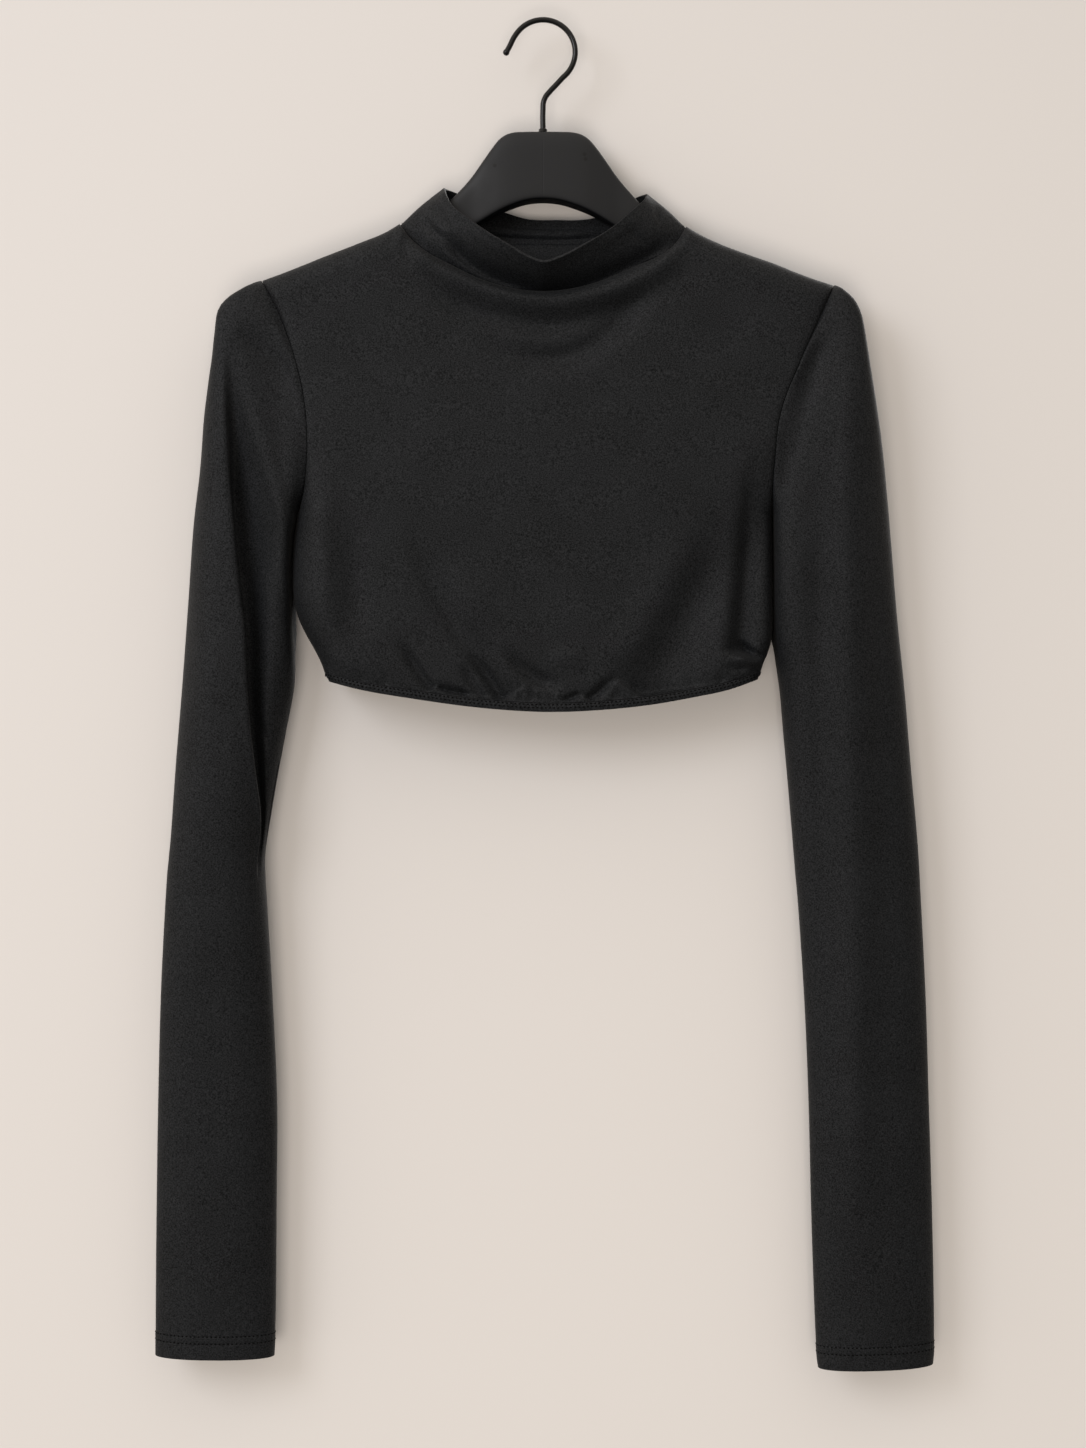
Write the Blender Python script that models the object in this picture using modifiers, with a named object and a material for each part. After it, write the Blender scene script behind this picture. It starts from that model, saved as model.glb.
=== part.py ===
"""Cropped mock-neck top with long sleeves, hanging on a contoured hanger.

The cloth is cut and sewn as on the real garment: a front, a back, a collar, two sleeves
and a hem band, each one wall of jersey with its own edges.  Neighbours share the points
of the seam between them and stay SEAM_GAP apart.  The hanger is a body and a wire hook.

Frame: +Z up, +X towards the garment's left sleeve, the front faces -Y.  The origin is the
inner top of the hook, where a rail or a peg holds the hanger.  Tables are in millimetres.
"""

import bpy
import numpy as np

MM = 0.001

# Driving dimensions, in millimetres.
CLOTH_THICKNESS = 1.5
SEAM_GAP = 0.3
BAND_HEIGHT = 5.4
BAND_DEPTH_FRONT = 26.6
BAND_DEPTH_BACK = 22.0
NECK_DEPTH_FRONT = 22.0
NECK_DEPTH_BACK = 16.5
NECK_RECESS = 8.5
NECK_RECESS_X = 5.0
NECK_RECESS_WIDTH = 50.0
SIDE_ROLL = 26.0
SHOULDER_ROLL = 17.0
NECK_ROLL = 7.0
HEM_ROLL = 9.0
ROLL_POWER = 2.5
BAND_ROUNDNESS = 2.4
NECK_ROUNDNESS = 2.2

# How the panels are divided.  Columns run from the right armhole to the left one.
SHOULDER_COLUMNS = 4
NECK_COLUMNS = 22
ARMHOLE_ROWS = 10
SIDE_ROWS = 8
COLLAR_ROWS = 4
SEAM_TURN = 0.001
NECK_SHARE = 0.139
ARMHOLE_SHARE = 0.56
ARMHOLE_CROWDING = 0.72
SIDE_CROWDING = 1.6
HEM_CROWDING = 0.3

# Shoulder seams from the armhole up to the neck (x, z).
SHOULDER_RIGHT = (
    (-176.4, -163.5), (-169.2, -161.2), (-154.7, -155.7),
    (-137.7, -148.8), (-115.2, -140.0), (-98.3, -133.0), (-90.0, -128.0),
)
SHOULDER_LEFT = (
    (182.4, -166.4), (176.0, -164.6), (162.0, -159.8), (145.2, -153.0),
    (128.2, -147.0), (111.2, -140.6), (99.0, -134.9), (90.0, -129.6),
)
# Neck seams from the right shoulder to the left one (x, z).
NECK_FRONT = (
    (-90.0, -128.0), (-84.0, -136.8), (-75.3, -145.3), (-55.8, -156.4), (-40.8, -163.6),
    (-26.4, -168.4), (2.2, -171.6), (33.3, -166.1), (46.4, -161.1), (60.2, -155.1),
    (74.1, -149.0), (82.4, -141.6), (90.0, -129.6),
)
NECK_BACK = (
    (-90.0, -128.0), (-80.0, -132.0), (-45.0, -136.5),
    (0.0, -138.0), (45.0, -137.0), (80.0, -133.2), (90.0, -129.6),
)
# Armhole seams from the shoulder down to the underarm (x, front depth, z).  Behind the
# hanger they lie shallower, by ARMHOLE_BACK_SHARE.
ARMHOLE_BACK_SHARE = 0.88
ARMHOLE_RIGHT = (
    (-176.4, 15.5, -163.5), (-169.5, 17.6, -175.5), (-164.0, 19.2, -186.5),
    (-159.4, 20.6, -198.4), (-154.6, 22.0, -212.8), (-149.0, 23.0, -235.5),
    (-146.4, 23.2, -264.3), (-146.7, 22.0, -278.0), (-148.7, 18.0, -296.0),
    (-151.6, 10.5, -306.0), (-154.6, 0.0, -312.0),
)
ARMHOLE_LEFT = (
    (182.4, 15.5, -166.4), (176.8, 17.6, -178.0), (170.1, 19.4, -193.4),
    (163.4, 21.0, -207.7), (156.8, 22.2, -223.3), (151.2, 22.9, -236.4),
    (147.0, 23.1, -250.3), (143.8, 22.2, -276.7), (142.4, 18.0, -296.5),
    (143.0, 10.5, -306.0), (144.0, 0.0, -312.0),
)
# Side seams from the underarm down to the band (x, z).
SIDE_RIGHT = (
    (-154.6, -312.0), (-156.8, -330.0), (-157.6, -350.0), (-157.0, -368.0),
    (-154.0, -380.6), (-148.2, -392.0), (-141.8, -402.0), (-136.0, -409.8),
)
SIDE_LEFT = (
    (144.0, -312.0), (144.3, -335.0), (144.4, -360.0), (144.2, -380.0),
    (143.4, -390.0), (141.0, -398.0), (138.2, -404.0), (136.4, -408.5),
)
# Lower edge of the hem band (x, z).
HEM_FRONT = (
    (-136.0, -415.5), (-123.0, -419.0), (-78.0, -427.0), (-33.5, -432.6), (2.0, -434.6),
    (41.5, -433.0), (69.0, -430.0), (96.0, -425.3), (116.5, -421.0), (136.4, -414.2),
)
HEM_BACK = ((-136.0, -415.5), (-70.0, -422.5), (0.0, -426.0), (70.0, -422.0), (136.4, -414.2))
# Free edge of the collar (x, depth, z).
COLLAR_EDGE_FRONT = (
    (-62.4, 0.0, -106.0), (-61.4, 7.0, -110.5), (-57.5, 13.0, -119.0), (-45.8, 19.0, -129.7),
    (-34.6, 24.0, -138.6), (-20.8, 28.6, -147.5), (-9.0, 31.4, -154.8), (0.6, 32.2, -158.0),
    (10.5, 31.2, -154.8), (26.4, 27.2, -145.8), (40.0, 22.0, -136.8), (57.6, 14.0, -120.5),
    (64.2, 7.0, -113.8), (65.6, 0.0, -110.0),
)
COLLAR_EDGE_BACK = (
    (-62.4, 0.0, -106.0), (-60.0, 8.5, -108.6), (-45.0, 13.0, -115.6), (0.0, 17.0, -121.0),
    (45.0, 13.0, -117.6), (63.0, 8.5, -112.2), (65.6, 0.0, -110.0),
)
# How far the panels stand out from the plane of the hanger (z, front depth, back depth).
PANEL_DEPTH = (
    (-125.0, 20.0, 18.0), (-170.0, 22.5, 19.0), (-210.0, 23.5, 20.0), (-260.0, 25.5, 21.0),
    (-310.0, 27.0, 22.0), (-360.0, 28.0, 23.0), (-400.0, 29.0, 24.0), (-440.0, 29.0, 24.0),
)
# Swags below the neck seam: (share of SWAG_DROP, width as such a share, height in mm).
SWAG_DROP = 38.0
SWAG_HALF_SPAN = 88.0
SWAG_NARROWING = 1.25
SWAG_LEAST_SPAN = 0.02
SWAGS = ((0.12, 0.14, 5.0), (0.34, 0.12, -3.6), (0.64, 0.15, 1.6), (1.00, 0.16, -4.0))
# Folds of the front and the back, each along a curve through three places:
# (x, z, x, z, x, z, width, height); a negative height is a trough.  FOLD_END_SHARE is the
# share of the length over which a fold keeps the height of its ends.
FOLD_END_SHARE = 0.06
FOLD_POINTS = 25
FRONT_FOLDS = (
    (110.0, -298.0, 88.0, -368.0, 47.0, -425.0, 15.0, -6.5),
    (90.0, -306.0, 65.0, -366.0, 25.0, -412.0, 12.0, 3.0),
    (128.0, -280.0, 124.5, -350.0, 119.5, -398.0, 6.5, -8.5),
    (136.0, -288.0, 134.5, -350.0, 128.0, -398.0, 6.0, 2.6),
    (-143.0, -312.0, -137.0, -365.0, -134.0, -403.0, 7.0, 3.0),
    (-120.5, -338.0, -117.0, -370.0, -114.0, -394.0, 8.0, -3.0),
    (-80.0, -322.0, -60.0, -378.0, -27.0, -426.0, 7.0, -4.4),
    (-93.0, -384.0, -84.0, -406.0, -71.0, -423.0, 5.5, -4.2),
    (-24.0, -400.0, -4.0, -417.0, 18.0, -415.0, 5.5, -3.0),
)
BACK_FOLDS = (
    (-104.0, -296.0, -66.0, -384.0, -40.0, -418.0, 11.0, -5.0),
    (-126.0, -300.0, -121.0, -356.0, -117.0, -400.0, 7.0, -5.4),
    (112.0, -312.0, 84.0, -380.0, 62.0, -416.0, 9.0, -4.6),
    (30.0, -366.0, 22.0, -396.0, 12.0, -418.0, 7.0, -3.0),
)
# Gathers pinched into the band: (x at the band, length, width, depth).  Each is deepest a
# quarter of its length above the band.
GATHER_CREST = 0.25
GATHER_FADE = 0.75
FRONT_GATHERS = (
    (-71.0, 14.0, 5.0, 3.2), (-38.0, 16.0, 4.8, 2.8), (-26.0, 20.0, 4.8, 3.6),
    (-14.5, 12.0, 4.5, 2.4), (15.0, 11.0, 4.8, 2.6), (29.0, 15.0, 5.0, 3.8),
    (52.0, 13.0, 5.5, 2.6), (118.0, 13.0, 5.5, 3.0),
)
BACK_GATHERS = (
    (-104.0, 12.0, 5.5, 2.6), (-62.0, 16.0, 5.0, 3.2), (-31.0, 12.0, 4.8, 2.6),
    (-8.0, 16.0, 5.0, 3.0), (22.0, 11.0, 4.8, 2.4), (47.0, 17.0, 5.0, 3.4), (96.0, 13.0, 5.5, 2.8),
)
# Drag folds of the sleeve heads, in the columns of the folds above.
SLEEVE_HEAD_FOLDS = (
    (-186.0, -199.0, -171.0, -212.0, -156.0, -226.0, 6.0, -3.0),
    (-178.0, -214.0, -166.0, -228.0, -153.0, -244.0, 7.0, 1.6),
    (182.0, -194.0, 171.0, -216.0, 158.0, -242.0, 6.0, -2.8),
    (190.0, -214.0, 177.0, -238.0, 163.0, -262.0, 7.0, 1.5),
)
# Sleeve sections below the armhole:
# (outer x, outer z, inner x, inner z, front depth, back depth, step behind the fold).
SLEEVE_RIGHT = (
    (-187.4, -170.2, -156.6, -318.0, 23.0, 19.0, 0.0),
    (-195.5, -176.3, -158.4, -324.0, 24.5, 21.0, 0.0),
    (-201.9, -184.0, -159.6, -331.0, 25.5, 22.0, 0.0),
    (-204.5, -197.0, -160.6, -340.0, 26.0, 23.0, 0.5),
    (-206.8, -212.0, -161.0, -351.0, 26.5, 23.5, 2.0),
    (-209.5, -228.0, -160.8, -364.0, 27.0, 24.0, 4.0),
    (-212.5, -250.0, -160.6, -378.0, 27.0, 24.0, 6.5),
    (-215.2, -282.0, -158.4, -396.0, 27.0, 24.0, 9.5),
    (-219.6, -317.0, -157.8, -418.0, 27.0, 24.0, 11.5),
    (-223.3, -368.7, -162.2, -446.0, 26.5, 23.0, 13.0),
    (-227.1, -420.3, -167.4, -474.0, 26.0, 22.0, 13.5),
    (-230.9, -466.3, -171.8, -500.0, 24.5, 20.5, 11.0),
    (-234.0, -509.8, -175.0, -523.0, 22.5, 19.0, 5.5),
    (-237.2, -546.3, -173.8, -556.0, 21.0, 18.0, 0.0),
    (-240.5, -610.0, -170.5, -612.0, 19.0, 16.5, 0.0),
    (-242.3, -680.0, -167.5, -680.0, 17.5, 15.0, 0.0),
    (-243.3, -745.0, -167.8, -745.0, 16.5, 14.0, 0.0),
    (-243.8, -800.0, -168.2, -800.0, 15.5, 13.5, 0.0),
    (-243.9, -827.7, -168.8, -828.3, 15.0, 13.0, 0.0),
    (-243.9, -838.7, -169.3, -839.3, 15.0, 13.0, 0.0),
)
SLEEVE_LEFT = (
    (188.0, -170.2, 145.6, -318.0, 23.0, 19.0, 0.0),
    (194.2, -176.0, 146.0, -324.0, 24.5, 21.0, 0.0),
    (199.2, -186.0, 146.3, -331.0, 25.5, 22.0, 0.0),
    (202.5, -203.6, 146.4, -341.0, 26.5, 23.0, 0.0),
    (205.7, -222.5, 146.5, -353.0, 27.0, 23.5, 0.0),
    (209.3, -243.9, 146.7, -367.0, 27.5, 24.0, 0.0),
    (212.6, -265.4, 147.0, -384.0, 27.5, 24.0, 0.0),
    (215.5, -290.0, 147.5, -401.0, 27.5, 24.0, 0.0),
    (218.9, -327.5, 149.2, -422.0, 27.0, 23.5, 0.0),
    (222.7, -373.7, 151.4, -448.0, 26.0, 22.5, 0.0),
    (227.7, -422.9, 153.6, -472.0, 24.5, 21.5, 0.0),
    (231.5, -468.9, 156.0, -500.0, 23.0, 20.0, 0.0),
    (235.7, -515.5, 158.6, -532.0, 21.5, 18.5, 0.0),
    (237.8, -551.4, 161.0, -560.0, 20.5, 17.5, 0.0),
    (241.0, -616.3, 164.8, -619.0, 19.0, 16.5, 0.0),
    (242.9, -679.3, 167.3, -680.0, 17.5, 15.0, 0.0),
    (244.8, -742.3, 168.8, -743.0, 16.5, 14.0, 0.0),
    (246.0, -799.0, 170.6, -800.0, 15.5, 13.5, 0.0),
    (246.2, -833.3, 172.2, -835.9, 15.0, 13.0, 0.0),
    (245.4, -844.3, 173.4, -846.9, 15.0, 13.0, 0.0),
)
# Edge of the right sleeve's front lobe, behind which the cloth steps back (z, x).
SLEEVE_FOLD = (
    (-200.0, -201.3), (-266.0, -193.7), (-317.0, -190.0), (-368.7, -188.1),
    (-420.3, -184.9), (-458.8, -181.1), (-497.2, -177.4), (-523.0, -178.5),
    (-560.0, -184.0), (-620.0, -194.0), (-700.0, -203.0), (-840.0, -206.0),
)
SLEEVE_FOLD_STATION = 0.55
SLEEVE_FOLD_WIDTH = 5.0
SLEEVE_FOLD_LEAST, SLEEVE_FOLD_MOST = 0.30, 0.86
SLEEVE_ROUNDNESS = 2.2
# The row beside the armhole seam: its share of the way to the first section, and its puff.
HEAD_ROW_SHARE = 0.14
HEAD_ROW_PUFF = 0.9

# Hanger: (x, top z, bottom z, half thickness, squareness of the section).
HANGER_SECTIONS = (
    (0.0, -69.6, -112.6, 7.0, 5.0),
    (12.0, -69.6, -113.9, 7.0, 5.0),
    (19.5, -69.8, -116.2, 7.0, 5.0),
    (25.0, -71.3, -118.3, 7.0, 5.0),
    (29.3, -74.2, -120.2, 7.0, 5.0),
    (33.5, -79.2, -122.3, 7.0, 5.0),
    (40.0, -88.2, -126.0, 7.0, 4.5),
    (46.2, -97.0, -129.8, 7.0, 4.2),
    (56.0, -108.6, -136.0, 6.8, 3.6),
    (66.0, -119.2, -142.4, 6.3, 3.2),
    (78.0, -129.6, -149.6, 5.8, 2.8),
    (86.0, -134.2, -154.0, 5.8, 2.6),
    (96.0, -138.0, -159.4, 7.0, 2.5),
    (112.0, -143.5, -168.0, 8.6, 2.4),
    (136.0, -152.3, -181.4, 9.6, 2.3),
    (160.0, -161.4, -195.0, 10.2, 2.2),
    (176.0, -167.4, -203.0, 10.2, 2.2),
    (186.0, -173.8, -207.0, 9.2, 2.2),
    (192.0, -180.8, -206.4, 7.6, 2.2),
    (195.4, -188.0, -202.6, 4.8, 2.2),
)
HANGER_SIDES = 16

# Hook: the wire follows a ring, then leans in to its shank.
WIRE_DIAMETER = 3.3
HOOK_RING_RADIUS = 20.3
HOOK_RING_CENTRE_Z = -18.65
HOOK_START_ANGLE = 146.0
HOOK_END_ANGLE = -40.0
HOOK_TIP = ((-23.0, -19.2), (-22.3, -15.4), (-20.4, -11.6))
HOOK_SHANK = ((11.9, -35.4), (8.4, -39.2), (4.6, -43.2), (1.7, -46.8), (0.3, -50.4), (0.0, -55.0))
HOOK_END_Z = -69.2
HOOK_RING_POINTS = 13
HOOK_POINTS = 40
TIP_BALL_RADIUS = 2.1
TIP_END_SHARE = 0.62
FERRULE_RADIUS = 2.7
FERRULE_TOP_Z = -67.2
FERRULE_CHAMFER = 0.4
FERRULE_SIDES = 20

# Colours (linear RGB) and finishes.
CLOTH_COLOUR = (0.0176, 0.0176, 0.0185, 1.0)
HANGER_COLOUR = (0.0262, 0.0262, 0.0270, 1.0)
WIRE_COLOUR = (0.0080, 0.0080, 0.0085, 1.0)


def lengths_along(points):
    """Distance from the first point to each point of a line."""
    steps = np.linalg.norm(np.diff(points, axis=0), axis=1)
    return np.concatenate([[0.0], np.cumsum(steps)])


def smooth_between(knots, values, at):
    """Smooth curve through values at rising knots, read at the places in at.

    Between two knots it is a cubic that keeps the slope of its neighbours, so it has no
    corners and runs through every value.  values may hold several columns.
    """
    values = np.asarray(values, float)
    slopes = np.gradient(values, knots, axis=0)
    piece = np.clip(np.searchsorted(knots, at, side="right") - 1, 0, len(knots) - 2)
    width = knots[piece + 1] - knots[piece]
    share = np.clip((at - knots[piece]) / width, 0.0, 1.0)
    extra = (1,) * (values.ndim - 1)
    share = share.reshape(share.shape + extra)
    width = width.reshape(width.shape + extra)
    start = (1 + 2 * share) * (1 - share) ** 2
    start_slope = share * (1 - share) ** 2
    end = share ** 2 * (3 - 2 * share)
    end_slope = share ** 2 * (share - 1)
    curve = start * values[piece] + end * values[piece + 1]
    return curve + width * (start_slope * slopes[piece] + end_slope * slopes[piece + 1])


def along(table, share):
    """Point at a share (0 to 1) of the length of the smooth line through a table."""
    points = np.asarray(table, float)
    knots = lengths_along(points)
    return smooth_between(knots, points, np.asarray(share, float) * knots[-1])


def roll(distance, radius):
    """Quarter round: 0 on the edge, 1 from radius onwards, square to the edge at first."""
    share = np.clip(distance / radius, 0.0, 1.0)
    return (1.0 - (1.0 - share) ** ROLL_POWER) ** (1.0 / ROLL_POWER)


def ridge(distance, width):
    """Soft hump of height 1, about two widths across."""
    return np.exp(-(distance / width) ** 2)


def neck_stations():
    """Shares across a panel between the two ends of the neck seam."""
    return np.linspace(NECK_SHARE, 1.0 - NECK_SHARE, NECK_COLUMNS + 1)


def column_stations():
    """Shares across a panel, with a narrow turned strip at both side seams."""
    right = np.linspace(0.0, NECK_SHARE, SHOULDER_COLUMNS + 1)[1:-1]
    right = np.concatenate([[0.0, SEAM_TURN], right])
    return np.concatenate([right, neck_stations(), 1.0 - right[::-1]])


def armhole_stations():
    """Shares down a panel along the armhole, closer together at both of its ends."""
    step = np.arange(1, ARMHOLE_ROWS + 1) / ARMHOLE_ROWS
    step = step - ARMHOLE_CROWDING * np.sin(2 * np.pi * step) / (2 * np.pi)
    return np.concatenate([[0.0, SEAM_TURN], step * ARMHOLE_SHARE])


def row_stations():
    """Shares down a panel: the armhole, then the side seam, closer together at the band."""
    step = np.arange(1, SIDE_ROWS + 1) / SIDE_ROWS
    side = 1.0 - (1.0 - step) ** SIDE_CROWDING
    return np.concatenate([armhole_stations(), ARMHOLE_SHARE + side * (1.0 - ARMHOLE_SHARE)])


def top_edge(neck, across):
    """Top edge of a panel (x, z): shoulder seam, neck seam, shoulder seam."""
    right = along(SHOULDER_RIGHT, np.clip(across / NECK_SHARE, 0.0, 1.0))
    left = along(SHOULDER_LEFT, np.clip((1.0 - across) / NECK_SHARE, 0.0, 1.0))
    middle = along(neck, np.clip((across - NECK_SHARE) / (1.0 - 2.0 * NECK_SHARE), 0.0, 1.0))
    edge = np.where((across < NECK_SHARE)[:, None], right, middle)
    return np.where((across > 1.0 - NECK_SHARE)[:, None], left, edge)


def side_edge(armhole, side, down):
    """Side edge of a panel (x, depth, z): armhole seam, then side seam."""
    upper = along(armhole, np.clip(down / ARMHOLE_SHARE, 0.0, 1.0))
    lower = along(side, np.clip((down - ARMHOLE_SHARE) / (1.0 - ARMHOLE_SHARE), 0.0, 1.0))
    lower = np.stack([lower[:, 0], np.zeros(len(down)), lower[:, 1]], axis=1)
    return np.where((down <= ARMHOLE_SHARE)[:, None], upper, lower)


def hem_edge(hem, across):
    """Lower edge of the band (x, z), its places closer together at the side seams."""
    even = 2.0 * across - 1.0
    crowded = np.sin(0.5 * np.pi * even)
    return along(hem, 0.5 + 0.5 * ((1.0 - HEM_CROWDING) * even + HEM_CROWDING * crowded))


def oval_depth(share, depth, roundness):
    """Depth of a flattened ring at a share of its half width."""
    share = np.clip(np.abs(share), 0.0, 1.0)
    return depth * (1.0 - share ** roundness) ** (1.0 / roundness)


def band_depth(x, depth):
    """Depth of the band's flattened ring at x."""
    half = 0.5 * (HEM_FRONT[-1][0] - HEM_FRONT[0][0])
    middle = 0.5 * (HEM_FRONT[-1][0] + HEM_FRONT[0][0])
    return oval_depth((x - middle) / half, depth, BAND_ROUNDNESS)


def neck_depth(x, front):
    """Depth of the neck seam at x; the front seam is drawn in behind the collar's sag."""
    half = NECK_FRONT[-1][0]
    if not front:
        return oval_depth(x / half, NECK_DEPTH_BACK, NECK_ROUNDNESS)
    drawn_in = NECK_RECESS * ridge(x - NECK_RECESS_X, NECK_RECESS_WIDTH)
    return oval_depth(x / half, NECK_DEPTH_FRONT, NECK_ROUNDNESS) - drawn_in


def crease_relief(x, z, folds):
    """Height of all folds of a table at each place, fading out at both of their ends."""
    relief = np.zeros_like(x)
    share = np.linspace(0.0, 1.0, FOLD_POINTS)
    for x1, z1, x2, z2, x3, z3, width, height in folds:
        line = along(((x1, z1), (x2, z2), (x3, z3)), share)
        fade = np.sqrt(np.sin(np.pi * np.clip(share, FOLD_END_SHARE, 1.0 - FOLD_END_SHARE)))
        away = np.hypot(x[..., None] - line[:, 0], z[..., None] - line[:, 1])
        relief += height * np.max(ridge(away, width) * fade, axis=-1)
    return relief


def gather_relief(x, above, gathers):
    """Height of all gathers of a table at each place, above being the height over the band."""
    relief = np.zeros_like(x)
    for gather_x, length, width, depth in gathers:
        along_it = ridge(above - GATHER_CREST * length, GATHER_FADE * length)
        relief -= depth * ridge(x - gather_x, width) * along_it
    return relief


def panel(front, across, down):
    """Front or back as a grid of points (rows down, columns across).

    In the plane of the hanger the grid fills the space between its four seams: each
    point is the mean of the two edge-to-edge blends, less the blend of the corners.
    Its depth grows from the seams over quarter rounds to the depth of the body, and
    the swags, folds and gathers are added to it.
    """
    neck, hem = (NECK_FRONT, HEM_FRONT) if front else (NECK_BACK, HEM_BACK)
    folds, gathers = (FRONT_FOLDS, FRONT_GATHERS) if front else (BACK_FOLDS, BACK_GATHERS)
    top = top_edge(neck, across)
    bottom = hem_edge(hem, across) + (0.0, BAND_HEIGHT + SEAM_GAP)
    right = side_edge(ARMHOLE_RIGHT, SIDE_RIGHT, down)
    left = side_edge(ARMHOLE_LEFT, SIDE_LEFT, down)
    a, d = across[None, :, None], down[:, None, None]
    flat_right, flat_left = right[:, None, ::2], left[:, None, ::2]
    seam_share = 1.0 if front else ARMHOLE_BACK_SHARE
    ends = np.array([0.0, 1.0])
    high = top_edge(neck, ends)
    low = hem_edge(hem, ends) + (0.0, BAND_HEIGHT + SEAM_GAP)
    corners = (1 - d) * ((1 - a) * high[0] + a * high[1]) + d * ((1 - a) * low[0] + a * low[1])
    flat = (1 - d) * top[None] + d * bottom[None] + (1 - a) * flat_right + a * flat_left - corners
    x, z = flat[..., 0], flat[..., 1]

    table = np.array(PANEL_DEPTH)[::-1]
    body = np.interp(z, table[:, 0], table[:, 1 if front else 2])
    from_right = np.linalg.norm(flat - flat_right, axis=2)
    from_left = np.linalg.norm(flat - flat_left, axis=2)
    side_share = roll(np.minimum(from_right, from_left), SIDE_ROLL)
    edge = np.where(across[None, :] < 0.5, right[:, 1:2], left[:, 1:2]) * seam_share
    depth = edge + (body - edge) * side_share

    on_neck = (across > NECK_SHARE) & (across < 1.0 - NECK_SHARE)
    from_top = np.linalg.norm(flat - top[None], axis=2)
    top_depth = np.where(on_neck, neck_depth(top[:, 0], front), 0.0)
    to_corner = np.minimum(np.abs(across - NECK_SHARE), np.abs(across - (1.0 - NECK_SHARE)))
    settled = np.clip(to_corner / (0.5 * NECK_SHARE), 0.0, 1.0)
    neck_radius = SHOULDER_ROLL + (NECK_ROLL - SHOULDER_ROLL) * settled
    top_radius = np.where(on_neck, neck_radius, SHOULDER_ROLL)
    top_share = roll(from_top, top_radius[None, :])

    if front:
        span = np.clip(1.0 - (x / SWAG_HALF_SPAN) ** 2, SWAG_LEAST_SPAN, 1.0)
        drop = from_top / (SWAG_DROP * span ** SWAG_NARROWING)
        for place, width, height in SWAGS:
            depth = depth + height * span * ridge(drop - place, width)
    depth = top_depth + (depth - top_depth) * top_share

    relief = crease_relief(x, z, folds) + gather_relief(x, z - bottom[None, :, 1], gathers)
    depth = depth + relief * side_share
    from_bottom = np.linalg.norm(flat - bottom[None], axis=2)
    bottom_depth = band_depth(bottom[:, 0], BAND_DEPTH_FRONT if front else BAND_DEPTH_BACK)
    depth = bottom_depth + (depth - bottom_depth) * roll(from_bottom, HEM_ROLL)
    y = depth + 0.5 * SEAM_GAP
    return np.stack([x, -y if front else y, z], axis=-1)


def armhole_ring(left_arm, rows):
    """Closed seam line of one armhole: down the front, up the back.

    It takes the edges of the two panels, so the sleeve meets them all round.
    """
    across = np.array([0.0, 1.0])
    column = 1 if left_arm else 0
    front = panel(True, across, rows)[:, column]
    back = panel(False, across, rows)[:, column]
    ring = np.concatenate([front, back[-2:0:-1]])
    ring[0, 1] = ring[len(rows) - 1, 1] = 0.0
    ring[:, 0] += SEAM_GAP if left_arm else -SEAM_GAP
    return ring


def sleeve_section(row, share, front, folded):
    """Half of a sleeve's section, from its outer edge (share 0) to its inner edge (1).

    It is half of a rounded flat oval in the slanting plane through both edges.  On a
    folded sleeve one station stays on the fold line, and past it the front is set back
    by the row's step.
    """
    outer_x, outer_z, inner_x, inner_z, front_depth, back_depth, step = row
    if front and folded:
        fold_share = fold_place(row)
        angle = np.arccos(1.0 - 2.0 * fold_share) / np.pi
        before = share * angle / SLEEVE_FOLD_STATION
        after = angle + (share - SLEEVE_FOLD_STATION) * (1.0 - angle) / (1.0 - SLEEVE_FOLD_STATION)
        share = np.where(share < SLEEVE_FOLD_STATION, before, after)
    power = 2.0 / SLEEVE_ROUNDNESS
    cosine, sine = np.cos(np.pi * share), np.abs(np.sin(np.pi * share))
    across = 0.5 * (1.0 - np.sign(cosine) * np.abs(cosine) ** power)
    depth = sine ** power * (front_depth if front else back_depth)
    x = outer_x + (inner_x - outer_x) * across
    z = outer_z + (inner_z - outer_z) * across
    if front and folded:
        past = (across - fold_share) * abs(inner_x - outer_x)
        depth = depth - step * np.clip(past / SLEEVE_FOLD_WIDTH, 0.0, 1.0) * np.sqrt(sine)
    if front:
        depth = depth + crease_relief(x, z, SLEEVE_HEAD_FOLDS) * sine
    return np.stack([x, -depth if front else depth, z], axis=1)


def fold_place(row):
    """Share across a section where the fold line crosses it."""
    outer_x, outer_z, inner_x, inner_z = row[:4]
    share = np.linspace(0.0, 1.0, 201)
    line = np.array(SLEEVE_FOLD)[::-1]
    fold_x = np.interp(outer_z + (inner_z - outer_z) * share, line[:, 0], line[:, 1])
    gap = np.abs(outer_x + (inner_x - outer_x) * share - fold_x)
    return float(np.clip(share[np.argmin(gap)], SLEEVE_FOLD_LEAST, SLEEVE_FOLD_MOST))


def sleeve(left_arm, rows):
    """Sleeve as rings of points: the armhole seam, a row beside it, then the sections."""
    table = SLEEVE_LEFT if left_arm else SLEEVE_RIGHT
    ring = armhole_ring(left_arm, rows)
    share = np.arange(len(rows)) / (len(rows) - 1)
    rings = []
    for row in table:
        front = sleeve_section(row, share, True, not left_arm)
        back = sleeve_section(row, share, False, not left_arm)
        rings.append(np.concatenate([front, back[-2:0:-1]]))
    beside = ring + HEAD_ROW_SHARE * (rings[0] - ring)
    centre = ring.mean(axis=0)
    outward = (ring - centre) * (0.0, 1.0, 1.0)
    outward /= np.linalg.norm(outward, axis=1, keepdims=True)
    from_top = np.concatenate([share, share[-2:0:-1]])
    beside += outward * HEAD_ROW_PUFF * np.clip(1.0 - 2.0 * from_top, 0.0, 1.0)[:, None]
    return np.stack([ring, beside] + rings)


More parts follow.
